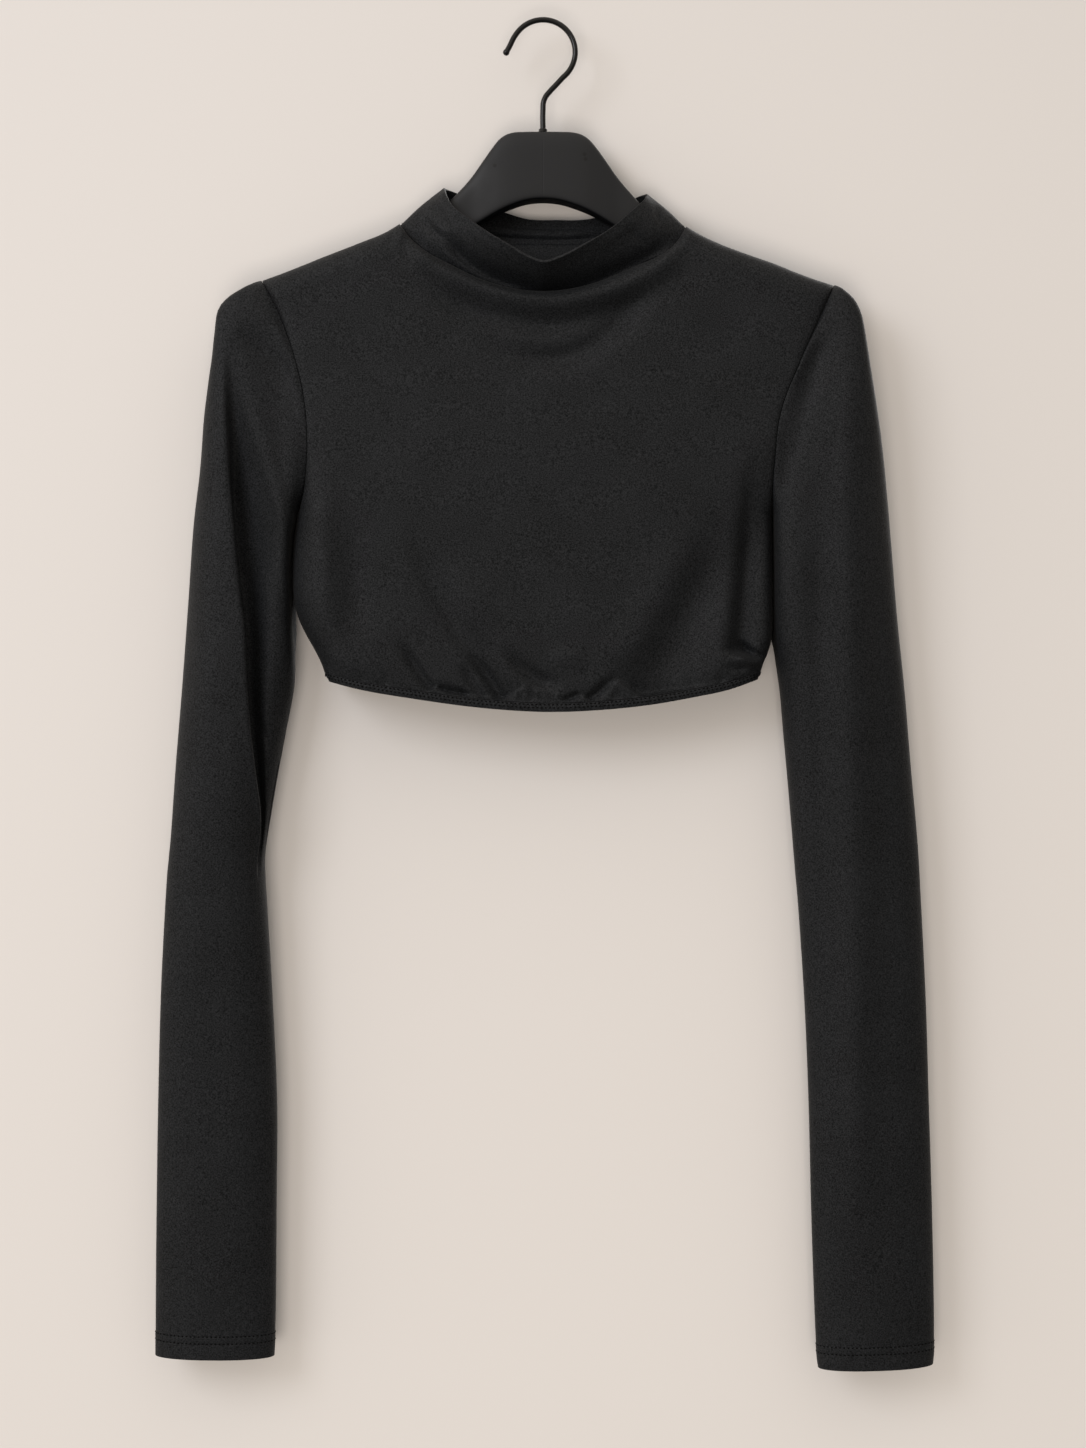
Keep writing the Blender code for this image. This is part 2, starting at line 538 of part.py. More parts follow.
def collar(rows):
    """Collar as rings of points, from the neck seam up to the free edge."""
    neck = neck_stations()
    top = np.array([0.0])
    front_seam = panel(True, neck, top)[0]
    back_seam = panel(False, neck, top)[0]
    seam = np.concatenate([front_seam, back_seam[-2:0:-1]])
    seam[0, 1] = seam[len(neck) - 1, 1] = 0.0
    share = np.linspace(0.0, 1.0, len(neck))
    front_edge = along(COLLAR_EDGE_FRONT, share) * (1.0, -1.0, 1.0)
    back_edge = along(COLLAR_EDGE_BACK, share)
    edge = np.concatenate([front_edge, back_edge[-2:0:-1]])
    rise = edge - seam
    rise_length = np.linalg.norm(rise, axis=1, keepdims=True)
    start = seam + rise / rise_length * SEAM_GAP
    steps = np.linspace(0.0, 1.0, rows + 1)[:, None, None]
    return start[None] + (edge - start)[None] * steps


def band():
    """Hem band as rings of points, the uppermost under the panels' lower edges."""
    across = column_stations()
    rings = []
    for lift in (BAND_HEIGHT, 0.5 * BAND_HEIGHT, 0.0):
        front = hem_edge(HEM_FRONT, across)
        back = hem_edge(HEM_BACK, across)
        front_y = -band_depth(front[:, 0], BAND_DEPTH_FRONT)
        back_y = band_depth(back[:, 0], BAND_DEPTH_BACK)
        front = np.stack([front[:, 0], front_y, front[:, 1] + lift], axis=1)
        back = np.stack([back[:, 0], back_y, back[:, 1] + lift], axis=1)
        rings.append(np.concatenate([front, back[-2:0:-1]]))
    return np.stack(rings)


def material(name, colour, roughness, metallic=0.0):
    """Principled material with a plain colour."""
    made = bpy.data.materials.new(name)
    made.use_nodes = True
    shader = made.node_tree.nodes["Principled BSDF"]
    shader.inputs["Base Color"].default_value = colour
    shader.inputs["Roughness"].default_value = roughness
    shader.inputs["Metallic"].default_value = metallic
    return made


def surface(name, grid, closed, flip, collection, made):
    """Mesh object over a grid of points; closed joins its last column to its first."""
    rows, columns = grid.shape[:2]
    faces = []
    for row in range(rows - 1):
        for column in range(columns if closed else columns - 1):
            beside = (column + 1) % columns
            face = [row * columns + column, row * columns + beside,
                    (row + 1) * columns + beside, (row + 1) * columns + column]
            faces.append(face[::-1] if flip else face)
    mesh = bpy.data.meshes.new(name)
    mesh.from_pydata((grid.reshape(-1, 3) * MM).tolist(), [], faces)
    mesh.materials.append(made)
    mesh.shade_smooth()
    piece = bpy.data.objects.new(name, mesh)
    collection.objects.link(piece)
    return piece


def cloth(name, grid, closed, flip, collection, made):
    """One piece of jersey: an open surface thickened inwards."""
    piece = surface(name, grid, closed, flip, collection, made)
    wall = piece.modifiers.new("Jersey", "SOLIDIFY")
    wall.thickness = CLOTH_THICKNESS * MM
    wall.offset = -1.0
    wall.use_rim = True
    return piece


def hanger_body(collection, made):
    """Hanger lofted through upright rounded sections, one half mirrored onto the other."""
    angle = np.arange(HANGER_SIDES) * 2 * np.pi / HANGER_SIDES
    rings = []
    for x, top, bottom, half, squareness in HANGER_SECTIONS:
        power = 2.0 / squareness
        y = half * np.sign(np.cos(angle)) * np.abs(np.cos(angle)) ** power
        z = np.sign(np.sin(angle)) * np.abs(np.sin(angle)) ** power
        z = 0.5 * (top + bottom) + 0.5 * (top - bottom) * z
        rings.append(np.stack([np.full(HANGER_SIDES, x), y, z], axis=1))
    piece = surface("hanger_body", np.stack(rings), True, False, collection, made)
    mesh = piece.data
    last = len(HANGER_SECTIONS) - 1
    vertices = [vertex.co[:] for vertex in mesh.vertices]
    faces = [face.vertices[:] for face in mesh.polygons]
    faces.append([last * HANGER_SIDES + side for side in range(HANGER_SIDES)])
    mesh.clear_geometry()
    mesh.from_pydata(vertices, [], faces)
    mesh.shade_smooth()
    mirror = piece.modifiers.new("Other arm", "MIRROR")
    mirror.use_axis = (True, False, False)
    mirror.use_clip = True
    mirror.merge_threshold = 0.00005
    return piece


def hook(collection, made):
    """Wire hook: ball tip, ring, lean-in and shank, as one round wire."""
    angles = np.radians(np.linspace(HOOK_START_ANGLE, HOOK_END_ANGLE, HOOK_RING_POINTS))
    ring_x = HOOK_RING_RADIUS * np.cos(angles)
    ring_z = HOOK_RING_CENTRE_Z + HOOK_RING_RADIUS * np.sin(angles)
    ring = list(zip(ring_x, ring_z))
    route = list(HOOK_TIP) + ring + list(HOOK_SHANK) + [(0.0, HOOK_END_Z)]
    places = along(route, np.linspace(0.0, 1.0, HOOK_POINTS))
    wire = bpy.data.curves.new("hanger_hook", "CURVE")
    wire.dimensions = "3D"
    wire.bevel_depth = 0.5 * WIRE_DIAMETER * MM
    wire.bevel_resolution = 2
    wire.use_fill_caps = True
    spline = wire.splines.new("POLY")
    spline.points.add(len(places) - 1)
    ball = TIP_BALL_RADIUS / (0.5 * WIRE_DIAMETER)
    for point, (x, z) in zip(spline.points, places):
        point.co = (x * MM, 0.0, z * MM, 1.0)
    for point, radius in zip(spline.points, (TIP_END_SHARE * ball, ball, 1.0)):
        point.radius = radius
    wire.materials.append(made)
    piece = bpy.data.objects.new("hanger_hook", wire)
    collection.objects.link(piece)
    return piece


def ferrule(collection, made):
    """Small turned ring round the foot of the hook."""
    inner = 0.5 * WIRE_DIAMETER + SEAM_GAP
    profile = ((FERRULE_RADIUS, FERRULE_TOP_Z - FERRULE_CHAMFER), (FERRULE_RADIUS, HOOK_END_Z),
               (inner, HOOK_END_Z), (inner, FERRULE_TOP_Z),
               (FERRULE_RADIUS - FERRULE_CHAMFER, FERRULE_TOP_Z))
    mesh = bpy.data.meshes.new("hook_ferrule")
    edges = [(corner, (corner + 1) % len(profile)) for corner in range(len(profile))]
    mesh.from_pydata([(x * MM, 0.0, z * MM) for x, z in profile], edges, [])
    mesh.materials.append(made)
    piece = bpy.data.objects.new("hook_ferrule", mesh)
    collection.objects.link(piece)
    turn = piece.modifiers.new("Turn", "SCREW")
    turn.steps = FERRULE_SIDES
    turn.render_steps = FERRULE_SIDES
    turn.use_merge_vertices = True
    turn.merge_threshold = 0.00001
    turn.use_smooth_shade = True
    return piece


def main():
    for old in list(bpy.data.objects):
        bpy.data.objects.remove(old, do_unlink=True)
    collection = bpy.data.collections.new("crop_top_on_hanger")
    bpy.context.scene.collection.children.link(collection)

    jersey = material("black_jersey", CLOTH_COLOUR, 0.85)
    plastic = material("matte_black_plastic", HANGER_COLOUR, 0.50)
    lacquer = material("black_lacquered_wire", WIRE_COLOUR, 0.22, 0.6)

    columns, rows, arm_rows = column_stations(), row_stations(), armhole_stations()
    cloth("top_front", panel(True, columns, rows), False, True, collection, jersey)
    cloth("top_back", panel(False, columns, rows), False, False, collection, jersey)
    cloth("collar", collar(COLLAR_ROWS), True, False, collection, jersey)
    cloth("sleeve_right", sleeve(False, arm_rows), True, True, collection, jersey)
    cloth("sleeve_left", sleeve(True, arm_rows), True, False, collection, jersey)
    cloth("hem_band", band(), True, True, collection, jersey)
    hanger_body(collection, plastic)
    hook(collection, lacquer)
    ferrule(collection, lacquer)


main()
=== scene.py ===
# %% [markdown]
# # A cropped top with a mock neck, on its hanger
# The garment is cut like most plain tops: a front and a back, a folded collar band, two long
# sleeves and a narrow hem band, all of one black jersey. It hangs on a contoured hanger with a
# wire hook.

# %% The measured frame
import bmesh
import bpy
import numpy as np
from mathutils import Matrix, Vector


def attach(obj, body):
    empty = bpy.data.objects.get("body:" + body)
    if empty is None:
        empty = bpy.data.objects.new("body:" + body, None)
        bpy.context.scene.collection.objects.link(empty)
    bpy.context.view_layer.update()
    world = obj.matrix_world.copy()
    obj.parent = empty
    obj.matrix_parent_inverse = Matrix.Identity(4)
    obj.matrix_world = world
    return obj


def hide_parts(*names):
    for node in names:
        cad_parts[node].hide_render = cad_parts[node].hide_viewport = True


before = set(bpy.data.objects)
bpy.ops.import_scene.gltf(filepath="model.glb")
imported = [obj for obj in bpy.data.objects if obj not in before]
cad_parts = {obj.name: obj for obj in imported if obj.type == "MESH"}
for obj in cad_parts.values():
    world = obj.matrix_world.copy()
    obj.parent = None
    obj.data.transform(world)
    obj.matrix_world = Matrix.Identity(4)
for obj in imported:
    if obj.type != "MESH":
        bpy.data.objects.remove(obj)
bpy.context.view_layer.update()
MM = 0.001

# %% [markdown]
# ## Camera
# A garment that hangs on a wall is looked at squarely, from a step and a half away and at the
# height of its middle.  The lens follows from the height that has to fill the picture.

# %% Camera
CAMERA_DISTANCE = 1.5
VIEW_CENTRE_Z = -0.442
VIEW_HEIGHT = 0.91224
SENSOR = 36.0

camera_data = bpy.data.cameras.new("Camera")
camera_data.sensor_width = SENSOR
camera_data.lens = SENSOR * CAMERA_DISTANCE / VIEW_HEIGHT
camera = bpy.data.objects.new("Camera", camera_data)
camera.location = (0.0, -CAMERA_DISTANCE, VIEW_CENTRE_Z)
camera.rotation_euler = (np.pi / 2, 0.0, 0.0)
bpy.context.scene.collection.objects.link(camera)
bpy.context.scene.camera = camera
print("lens in mm:", round(camera_data.lens, 1))

# %% [markdown]
# ## Smooth lines through a few measured places
# A pattern cutter marks a few places and joins them with a French curve.  A cubic through the
# same places does that here: it runs through every one and has no corners.

# %% Smooth lines
def lengths_along(points):
    """Distance from the first point: the running sum of the steps' lengths."""
    steps = np.linalg.norm(np.diff(points, axis=0), axis=1)
    return np.concatenate([[0.0], np.cumsum(steps)])


def unit(vectors):
    """Each vector brought to length 1."""
    return vectors / np.linalg.norm(vectors, axis=-1, keepdims=True)


def cubic(share, start, end, start_slope, end_slope):
    """Hermite curve: the cubic between two values that has the given slopes at its ends."""
    rest = 1.0 - share
    return (rest ** 2 * ((1.0 + 2.0 * share) * start + share * start_slope)
            + share ** 2 * ((3.0 - 2.0 * share) * end - rest * end_slope))


def smooth_between(knots, values, at):
    """Cubics through all values: each knot's slope is the mean slope of its two neighbours."""
    values = np.asarray(values, float)
    slopes = np.gradient(values, knots, axis=0)
    piece = np.clip(np.searchsorted(knots, at, side="right") - 1, 0, len(knots) - 2)
    width = knots[piece + 1] - knots[piece]
    share = np.clip((at - knots[piece]) / width, 0.0, 1.0)
    extra = (1,) * (values.ndim - 1)
    share, width = share.reshape(share.shape + extra), width.reshape(width.shape + extra)
    return cubic(share, values[piece], values[piece + 1], width * slopes[piece], width * slopes[piece + 1])


def along(table, share):
    """Point at a share (0 to 1) of the length of the smooth line through a table."""
    points = np.asarray(table, float)
    knots = lengths_along(points)
    return smooth_between(knots, points, np.asarray(share, float) * knots[-1])


def ease(share):
    """Soft step from 0 to 1: 3 s^2 - 2 s^3."""
    share = np.clip(share, 0.0, 1.0)
    return share * share * (3.0 - 2.0 * share)


def bell(distance, width):
    """Soft hump of height 1: exp(-(distance / width)^2)."""
    return np.exp(-(distance / width) ** 2)


# %% [markdown]
# ## Meshes from grids
# Every surface is a grid of points that a function of two parameters fills at once.  The faces
# join each point to its neighbours, and the UV map holds the distance walked along the cloth,
# in metres, so the knit keeps its real size on every piece.

# %% Grid to mesh
def new_object(name, points, faces):
    """Smooth mesh object from points in mm and rows of four point numbers."""
    mesh = bpy.data.meshes.new(name)
    mesh.from_pydata((points.reshape(-1, 3) * MM).tolist(), [], faces.tolist())
    mesh.shade_smooth()
    made = bpy.data.objects.new(name, mesh)
    bpy.context.scene.collection.objects.link(made)
    return made


def face_corners(grid, flip=False):
    """What a grid holds at the four corners of each face, as a new third axis."""
    corners = (np.s_[:-1, :-1], np.s_[:-1, 1:], np.s_[1:, 1:], np.s_[1:, :-1])
    return np.stack([grid[corner] for corner in (corners[::-1] if flip else corners)], axis=2)


def closed_up(grid):
    """The grid with its first column once more after the last."""
    return np.concatenate([grid, grid[:, :1]], axis=1)


def grid_mesh(name, grid, closed=False, flip=False):
    """Mesh object over a grid (rows, columns, xyz in mm); closed joins the last column to the first."""
    index = np.arange(grid[..., 0].size).reshape(grid.shape[:2])
    index, wrapped = (closed_up(index), closed_up(grid)) if closed else (index, grid)
    piece = new_object(name, grid, face_corners(index, flip).reshape(-1, 4))
    across, down = np.zeros((2, *wrapped.shape[:2]))
    across[:, 1:] = np.cumsum(np.linalg.norm(np.diff(wrapped, axis=1), axis=2), axis=1)
    across -= across[:, [grid.shape[1] // 2]]
    down[1:] = np.cumsum(np.linalg.norm(np.diff(wrapped, axis=0), axis=2), axis=0)
    loops = face_corners(np.stack([across, down], axis=-1) * MM, flip)
    piece.data.uv_layers.new(name="cloth").data.foreach_set("uv", loops.astype(np.float32).ravel())
    return piece


# %% [markdown]
# ## Finished edge of a closed shape
# A lofted shape ends in a pole where all points of a ring fall together.  They are merged, so
# the shape is closed and its normals stay clean.

# %% Closing helper
def close_poles(piece):
    """Merge the points that fall together and point all faces outwards."""
    shape = bmesh.new()
    shape.from_mesh(piece.data)
    bmesh.ops.remove_doubles(shape, verts=shape.verts, dist=0.01 * MM)
    bmesh.ops.recalc_face_normals(shape, faces=shape.faces)
    shape.to_mesh(piece.data)
    shape.free()
    piece.data.shade_smooth()


# %% [markdown]
# ## Colours and shader nodes
# Colours are written as sRGB hex values, the way a dye chart gives them, and one function turns
# them into the linear values that light is calculated with.  One small helper adds a node, and
# three short ones add the kinds that nearly every material here needs.

# %% Colour and node helpers
def colour(code):
    """Linear RGBA of an sRGB hex colour: c/12.92 below 0.04045, else ((c + 0.055)/1.055)^2.4."""
    parts = np.array([int(code[place:place + 2], 16) for place in (1, 3, 5)]) / 255.0
    linear = np.where(parts <= 0.04045, parts / 12.92, ((parts + 0.055) / 1.055) ** 2.4)
    return (*linear.tolist(), 1.0)


def fill(tree, made, **inputs):
    """Give a node its inputs, by name or by number after an underscore; a socket is linked."""
    for key, value in inputs.items():
        socket = made.inputs[int(key[1:]) if key[1:].isdigit() else key.replace("_", " ")]
        if isinstance(value, bpy.types.NodeSocket):
            tree.links.new(value, socket)
        else:
            socket.default_value = value
    return made


def node(tree, kind, settings=None, **inputs):
    """Add a node, set its properties and give it its inputs."""
    made = tree.nodes.new(kind)
    for key, value in (settings or {}).items():
        setattr(made, key, value)
    return fill(tree, made, **inputs)


def noise(tree, place, size, detail):
    """Clouds whose clumps are about one size across."""
    return node(tree, "ShaderNodeTexNoise", Vector=place, Scale=1.0 / size, Detail=detail).outputs[0]


def rescaled(tree, value, low, high, to_low, to_high, **settings):
    """The value's range from low to high, stretched to run from to_low to to_high."""
    return node(tree, "ShaderNodeMapRange", settings, Value=value, From_Min=low, From_Max=high,
                To_Min=to_low, To_Max=to_high).outputs[0]


def mixed(tree, share, dark, light):
    """Colour between two others, each a hex value or a socket."""
    dark, light = (colour(part) if isinstance(part, str) else part for part in (dark, light))
    return node(tree, "ShaderNodeMix", {"data_type": "RGBA"}, _0=share, _6=dark, _7=light).outputs[2]


def new_material(name, **shader_inputs):
    """Principled material with the given values on the shader's own sockets."""
    made = bpy.data.materials.new(name)
    made.use_nodes = True
    tree = made.node_tree
    return made, tree, fill(tree, tree.nodes["Principled BSDF"], **shader_inputs)


# %% [markdown]
# ## Brushed jersey
# The cloth is a fine polyester jersey, dyed black and brushed on its face.  The brushing breaks
# the surface filaments into a short nap: the cloth is matt, but glows a little where it turns
# away from the eye, which a sheen layer gives.  Real wales are 0.45 mm apart, too fine to show
# from a step away, so the slanting rib is drawn at 3 mm and the nap's clumps at 0.85 mm.

# %% Jersey material
RIB_SPACING = 3.0 * MM
RIB_SLANT = np.radians(38.0)
NAP_CLUMP = 0.85 * MM
MOTTLE_SIZE = 34.0 * MM
WAVE_LENGTH = 0.314  # the wave texture's own, at scale 1

jersey, tree, shader = new_material(
    "brushed_jersey_black", Roughness=0.66, IOR=1.45, Sheen_Weight=0.03, Sheen_Roughness=0.42,
    Sheen_Tint=colour("#D8D6D2"))
place = node(tree, "ShaderNodeTexCoord").outputs["Object"]
nap, mottle = noise(tree, place, NAP_CLUMP, 2.0), noise(tree, place, MOTTLE_SIZE, 3.0)
cloth_uv = node(tree, "ShaderNodeUVMap", {"uv_map": "cloth"}).outputs[0]
slanting = node(tree, "ShaderNodeMapping", Vector=cloth_uv, Rotation=(0.0, 0.0, RIB_SLANT)).outputs[0]
rib = node(tree, "ShaderNodeTexWave", Vector=slanting, Scale=WAVE_LENGTH / RIB_SPACING,
           Distortion=1.2, Detail=1.0).outputs["Fac"]
tone = node(tree, "ShaderNodeMath", {"operation": "ADD"}, _0=rescaled(tree, nap, 0.25, 0.75, 0.0, 0.85),
            _1=rescaled(tree, mottle, 0.3, 0.7, 0.0, 0.15)).outputs[0]
height = node(tree, "ShaderNodeMath", {"operation": "MULTIPLY_ADD"}, _0=rib, _1=0.15, _2=nap).outputs[0]
fill(tree, shader, Base_Color=mixed(tree, tone, "#030404", "#202225"),
     Specular_IOR_Level=rescaled(tree, nap, 0.3, 0.7, 0.10, 0.33),
     Normal=node(tree, "ShaderNodeBump", Strength=0.9, Distance=0.12 * MM, Height=height).outputs[0])
print("jersey nodes:", len(tree.nodes))

# %% [markdown]
# ## The pattern: seams and edges
# The sizes below are the finished garment's seams as it hangs, read from the shoulder down.
# x runs to the garment's left sleeve, z is up from the underside of the hook's crown, where a
# rail would bear it, and depth is the distance before or behind the plane of the hanger.

# %% Seam tables
BAND_HEIGHT = 5.4
BAND_DEPTH_FRONT, BAND_DEPTH_BACK, BAND_ROUNDNESS = 28.2, 22.8, 6.0
NECK_DEPTH_FRONT, NECK_DEPTH_BACK, NECK_ROUNDNESS = 22.0, 16.5, 2.2
# How far from its seams the cloth reaches its full depth, and its full folds above the band.
SIDE_ROLL, SHOULDER_ROLL, NECK_ROLL = 26.0, 17.0, 7.0
HEM_SETTLE, HEM_PINCH = 15.0, 3.4
ROLL_POWER = 2.5
NECK_SHARE, ARMHOLE_SHARE = 0.139, 0.56
NECK_RECESS, NECK_RECESS_X, NECK_RECESS_WIDTH = 13.0, 5.0, 64.0
SEAM_TURN = 0.001
HALF_SEAM = 0.04
ARMHOLE_GAP = 0.38
TUCK_IN, TUCK_ON = 1.2, 2.4

# Shoulder seams from the armhole up to the neck (x, z).
SHOULDER_RIGHT = (
    (-176.4, -163.5), (-169.2, -161.2), (-154.7, -155.7),
    (-137.7, -148.8), (-115.2, -140.0), (-98.3, -133.0), (-90.0, -128.0),
)
SHOULDER_LEFT = (
    (182.4, -166.4), (176.0, -164.6), (162.0, -159.8), (145.2, -153.0),
    (128.2, -147.0), (111.2, -140.6), (99.0, -134.9), (90.0, -129.6),
)
# Neck seams from the right shoulder to the left one (x, z).
NECK_FRONT = (
    (-90.0, -128.0), (-84.0, -136.8), (-75.3, -145.3), (-55.8, -156.4), (-40.8, -163.6),
    (-26.4, -168.4), (2.2, -171.6), (33.3, -166.1), (46.4, -161.1), (60.2, -155.1),
    (74.1, -149.0), (82.4, -141.6), (90.0, -129.6),
)
NECK_BACK = (
    (-90.0, -128.0), (-80.0, -132.0), (-45.0, -136.5),
    (0.0, -138.0), (45.0, -137.0), (80.0, -133.2), (90.0, -129.6),
)
# Armhole seams from the shoulder down to the underarm (x, front depth, z); at the back they
# lie shallower.
ARMHOLE_BACK_SHARE = 0.88
ARMHOLE_RIGHT = (
    (-176.4, 15.5, -163.5), (-169.5, 17.6, -175.5), (-164.0, 19.2, -186.5),
    (-159.4, 20.6, -198.4), (-154.6, 22.0, -212.8), (-149.0, 23.0, -235.5),
    (-146.4, 23.2, -264.3), (-146.7, 22.0, -278.0), (-148.7, 18.0, -296.0),
    (-151.6, 10.5, -306.0), (-154.6, 0.0, -312.0),
)
ARMHOLE_LEFT = (
    (182.4, 15.5, -166.4), (176.8, 17.6, -178.0), (170.1, 19.4, -193.4),
    (163.4, 21.0, -207.7), (156.8, 22.2, -223.3), (151.2, 22.9, -236.4),
    (147.0, 23.1, -250.3), (143.8, 22.2, -276.7), (142.4, 18.0, -296.5),
    (143.0, 10.5, -306.0), (144.0, 0.0, -312.0),
)
# Side seams from the underarm down to the band (x, z).
SIDE_RIGHT = (
    (-154.6, -312.0), (-156.8, -330.0), (-157.4, -350.0), (-156.4, -366.0), (-153.0, -377.2),
    (-148.4, -386.8), (-143.6, -395.2), (-138.4, -405.5), (-136.6, -409.8),
)
SIDE_LEFT = (
    (144.0, -312.0), (144.3, -335.0), (144.4, -360.0), (144.2, -380.0),
    (143.4, -390.0), (141.0, -398.0), (138.2, -404.0), (136.4, -408.5),
)
# Lower edge of the hem band (x, z).
HEM_FRONT = (
    (-136.0, -415.5), (-123.0, -419.0), (-78.0, -427.0), (-33.5, -432.6), (2.0, -434.6),
    (41.5, -433.0), (69.0, -430.0), (96.0, -425.3), (116.5, -421.0), (136.4, -414.2),
)
HEM_BACK = ((-136.0, -415.5), (-70.0, -422.5), (0.0, -426.0), (70.0, -422.0), (136.4, -414.2))
# How far the panels stand out from the plane of the hanger (z, front depth, back depth).
PANEL_DEPTH = (
    (-125.0, 20.0, 18.0), (-170.0, 22.5, 19.0), (-210.0, 23.5, 20.0), (-260.0, 25.5, 21.0),
    (-310.0, 27.0, 22.0), (-360.0, 28.0, 23.0), (-400.0, 29.0, 24.0), (-440.0, 29.0, 24.0),
)

# %% [markdown]
# ## Folds
# Gravity pulls a cowl below the loose neck, and the narrow band gathers the body into pleats
# and pouches.  Each fold is a bell-shaped trough or ridge that is carried along its own curve.
# Its two flanks may differ in width, because a fold leans, and it fades in and out on its way.

# %% Fold tables
# Rows: (places x, z of the curve), flank on the -x or lower side, flank on the +x or upper
# side, height (a trough is negative), share of the length to fade in, and to fade out.
NECK_FOLDS = (
    (((-88, -142), (-60, -162), (-27, -175), (3, -180), (42, -173), (70, -160), (88, -142)),
     8.0, 6.5, 4.0, 0.10, 0.10),
    (((-82, -160), (-57, -180), (-28, -190), (6, -194), (41, -186), (68, -172), (82, -158)),
     7.5, 7.5, -3.4, 0.25, 0.25),
    (((-44, -194), (-20, -211), (6, -215), (24, -210), (40, -199), (55, -187), (68, -173)),
     7.5, 7.5, -4.2, 0.45, 0.25),
)
FRONT_FOLDS = (
    (((119, -286), (111, -324), (97, -360), (85, -387), (74, -408), (62, -427)), 17.0, 20.0, -5.8, 0.5, 0.02),
    (((99, -300), (86, -342), (70, -372), (54, -396), (38, -412)), 14.0, 12.0, 2.2, 0.45, 0.25),
    (((132, -266), (128.5, -326), (125, -371), (121.5, -402)), 7.0, 14.0, -11.5, 0.55, 0.05),
    (((119, -392), (122.5, -400), (128, -404.5), (134, -404), (139, -399)), 3.0, 2.8, 2.0, 0.30, 0.30),
    (((121, -388), (127, -396), (134, -400), (140, -398)), 3.0, 2.4, -4.6, 0.35, 0.25),
    (((112, -405), (121, -408), (128, -406)), 2.4, 2.4, -2.0, 0.40, 0.30),
    (((-148, -262), (-139, -300), (-135, -356), (-132.5, -402)), 12.0, 12.0, 2.8, 0.40, 0.30),
    (((-121, -310), (-116, -362), (-112, -396)), 10.0, 11.0, -2.6, 0.50, 0.40),
    (((-84, -306), (-67, -358), (-53, -383), (-41.3, -399), (-35, -411), (-30, -420.3), (-25.2, -428)),
     7.0, 11.0, -4.0, 0.55, 0.01),
    (((-49, -395), (-39, -406), (-31, -416.5), (-25, -427)), 3.4, 3.2, -3.2, 0.50, 0.02),
    (((-58, -335), (-44, -370), (-28, -394)), 12.0, 13.0, 1.3, 0.50, 0.40),
    (((-89, -388), (-80.8, -403.5), (-74.4, -412.8), (-68.0, -421.0)), 3.6, 3.2, -3.8, 0.50, 0.04),
    (((-67, -418.5), (-59.8, -421), (-51.6, -423), (-39.2, -426)), 1.6, 2.6, -3.0, 0.18, 0.40),
    (((-52, -403), (-44.4, -415), (-39, -423.5), (-36, -427)), 3.0, 2.8, -2.8, 0.45, 0.02),
    (((-26, -391), (-18.6, -401.8), (-10.4, -409.5), (-2, -415), (7, -417), (15, -415)),
     4.2, 5.0, -4.0, 0.45, 0.35),
    (((0, -397), (16, -401), (30, -396)), 8.0, 6.0, 1.4, 0.40, 0.40),
    (((11, -429), (19.4, -425), (25.5, -423.4)), 1.7, 2.4, -2.6, 0.30, 0.30),
    (((26.5, -428.6), (32.9, -423.5), (43, -414.8), (49, -410)), 2.4, 3.2, -3.4, 0.12, 0.50),
    (((-91, -133), (-95, -142), (-99, -152)), 2.2, 2.4, -0.9, 0.20, 0.50),
    (((-87, -138), (-84.5, -148), (-83, -158)), 2.0, 2.4, -0.8, 0.20, 0.50),
)
BACK_FOLDS = (
    (((-104, -296), (-66, -384), (-40, -421)), 12.0, 9.0, -5.2, 0.35, 0.02),
    (((-84, -310), (-48, -384), (-24, -418)), 8.0, 9.0, 2.2, 0.35, 0.10),
    (((-126, -300), (-121, -356), (-116, -402)), 6.0, 7.0, -5.6, 0.35, 0.10),
    (((112, -312), (84, -380), (60, -419)), 8.0, 10.0, -4.8, 0.35, 0.02),
    (((124, -318), (104, -384), (84, -416)), 7.0, 6.0, 2.2, 0.35, 0.10),
    (((32, -356), (22, -396), (10, -420)), 6.0, 7.0, -3.2, 0.40, 0.02),
    (((-30, -152), (0, -157), (32, -151)), 5.0, 5.0, -1.6, 0.40, 0.40),
)
# Gathers pinched into the band: x at the band, length, width, depth.
FRONT_GATHERS = (
    (-112.0, 7.0, 3.0, 0.6), (-98.0, 8.0, 3.0, 0.7), (-57.0, 7.0, 2.4, 0.9), (-49.0, 8.0, 2.6, 1.0),
    (-20.0, 12.0, 2.2, 1.3), (-13.5, 11.0, 2.2, 1.1), (-7.0, 14.0, 2.4, 1.5), (-1.5, 9.0, 2.2, 0.8),
    (4.5, 8.0, 2.4, 0.7), (36.0, 8.0, 2.6, 0.9), (46.0, 9.0, 3.0, 1.0), (57.0, 9.0, 3.2, 0.8),
    (74.0, 8.0, 3.4, 0.7), (92.0, 8.0, 3.4, 0.6), (111.0, 9.0, 3.0, 1.4),
)
BACK_GATHERS = (
    (-116.0, 9.0, 3.6, 1.6), (-104.0, 11.0, 3.4, 2.2), (-84.0, 8.0, 3.0, 1.1), (-62.0, 15.0, 3.6, 3.0),
    (-47.0, 9.0, 2.8, 1.6), (-31.0, 12.0, 3.2, 2.4), (-18.0, 8.0, 2.6, 1.4), (-8.0, 14.0, 3.2, 2.8),
    (6.0, 8.0, 2.8, 1.4), (22.0, 11.0, 3.0, 2.2), (34.0, 8.0, 2.6, 1.4), (47.0, 15.0, 3.6, 3.2),
    (62.0, 9.0, 3.0, 1.8), (80.0, 8.0, 3.2, 1.1), (96.0, 12.0, 3.8, 2.4), (116.0, 9.0, 3.4, 1.4),
)
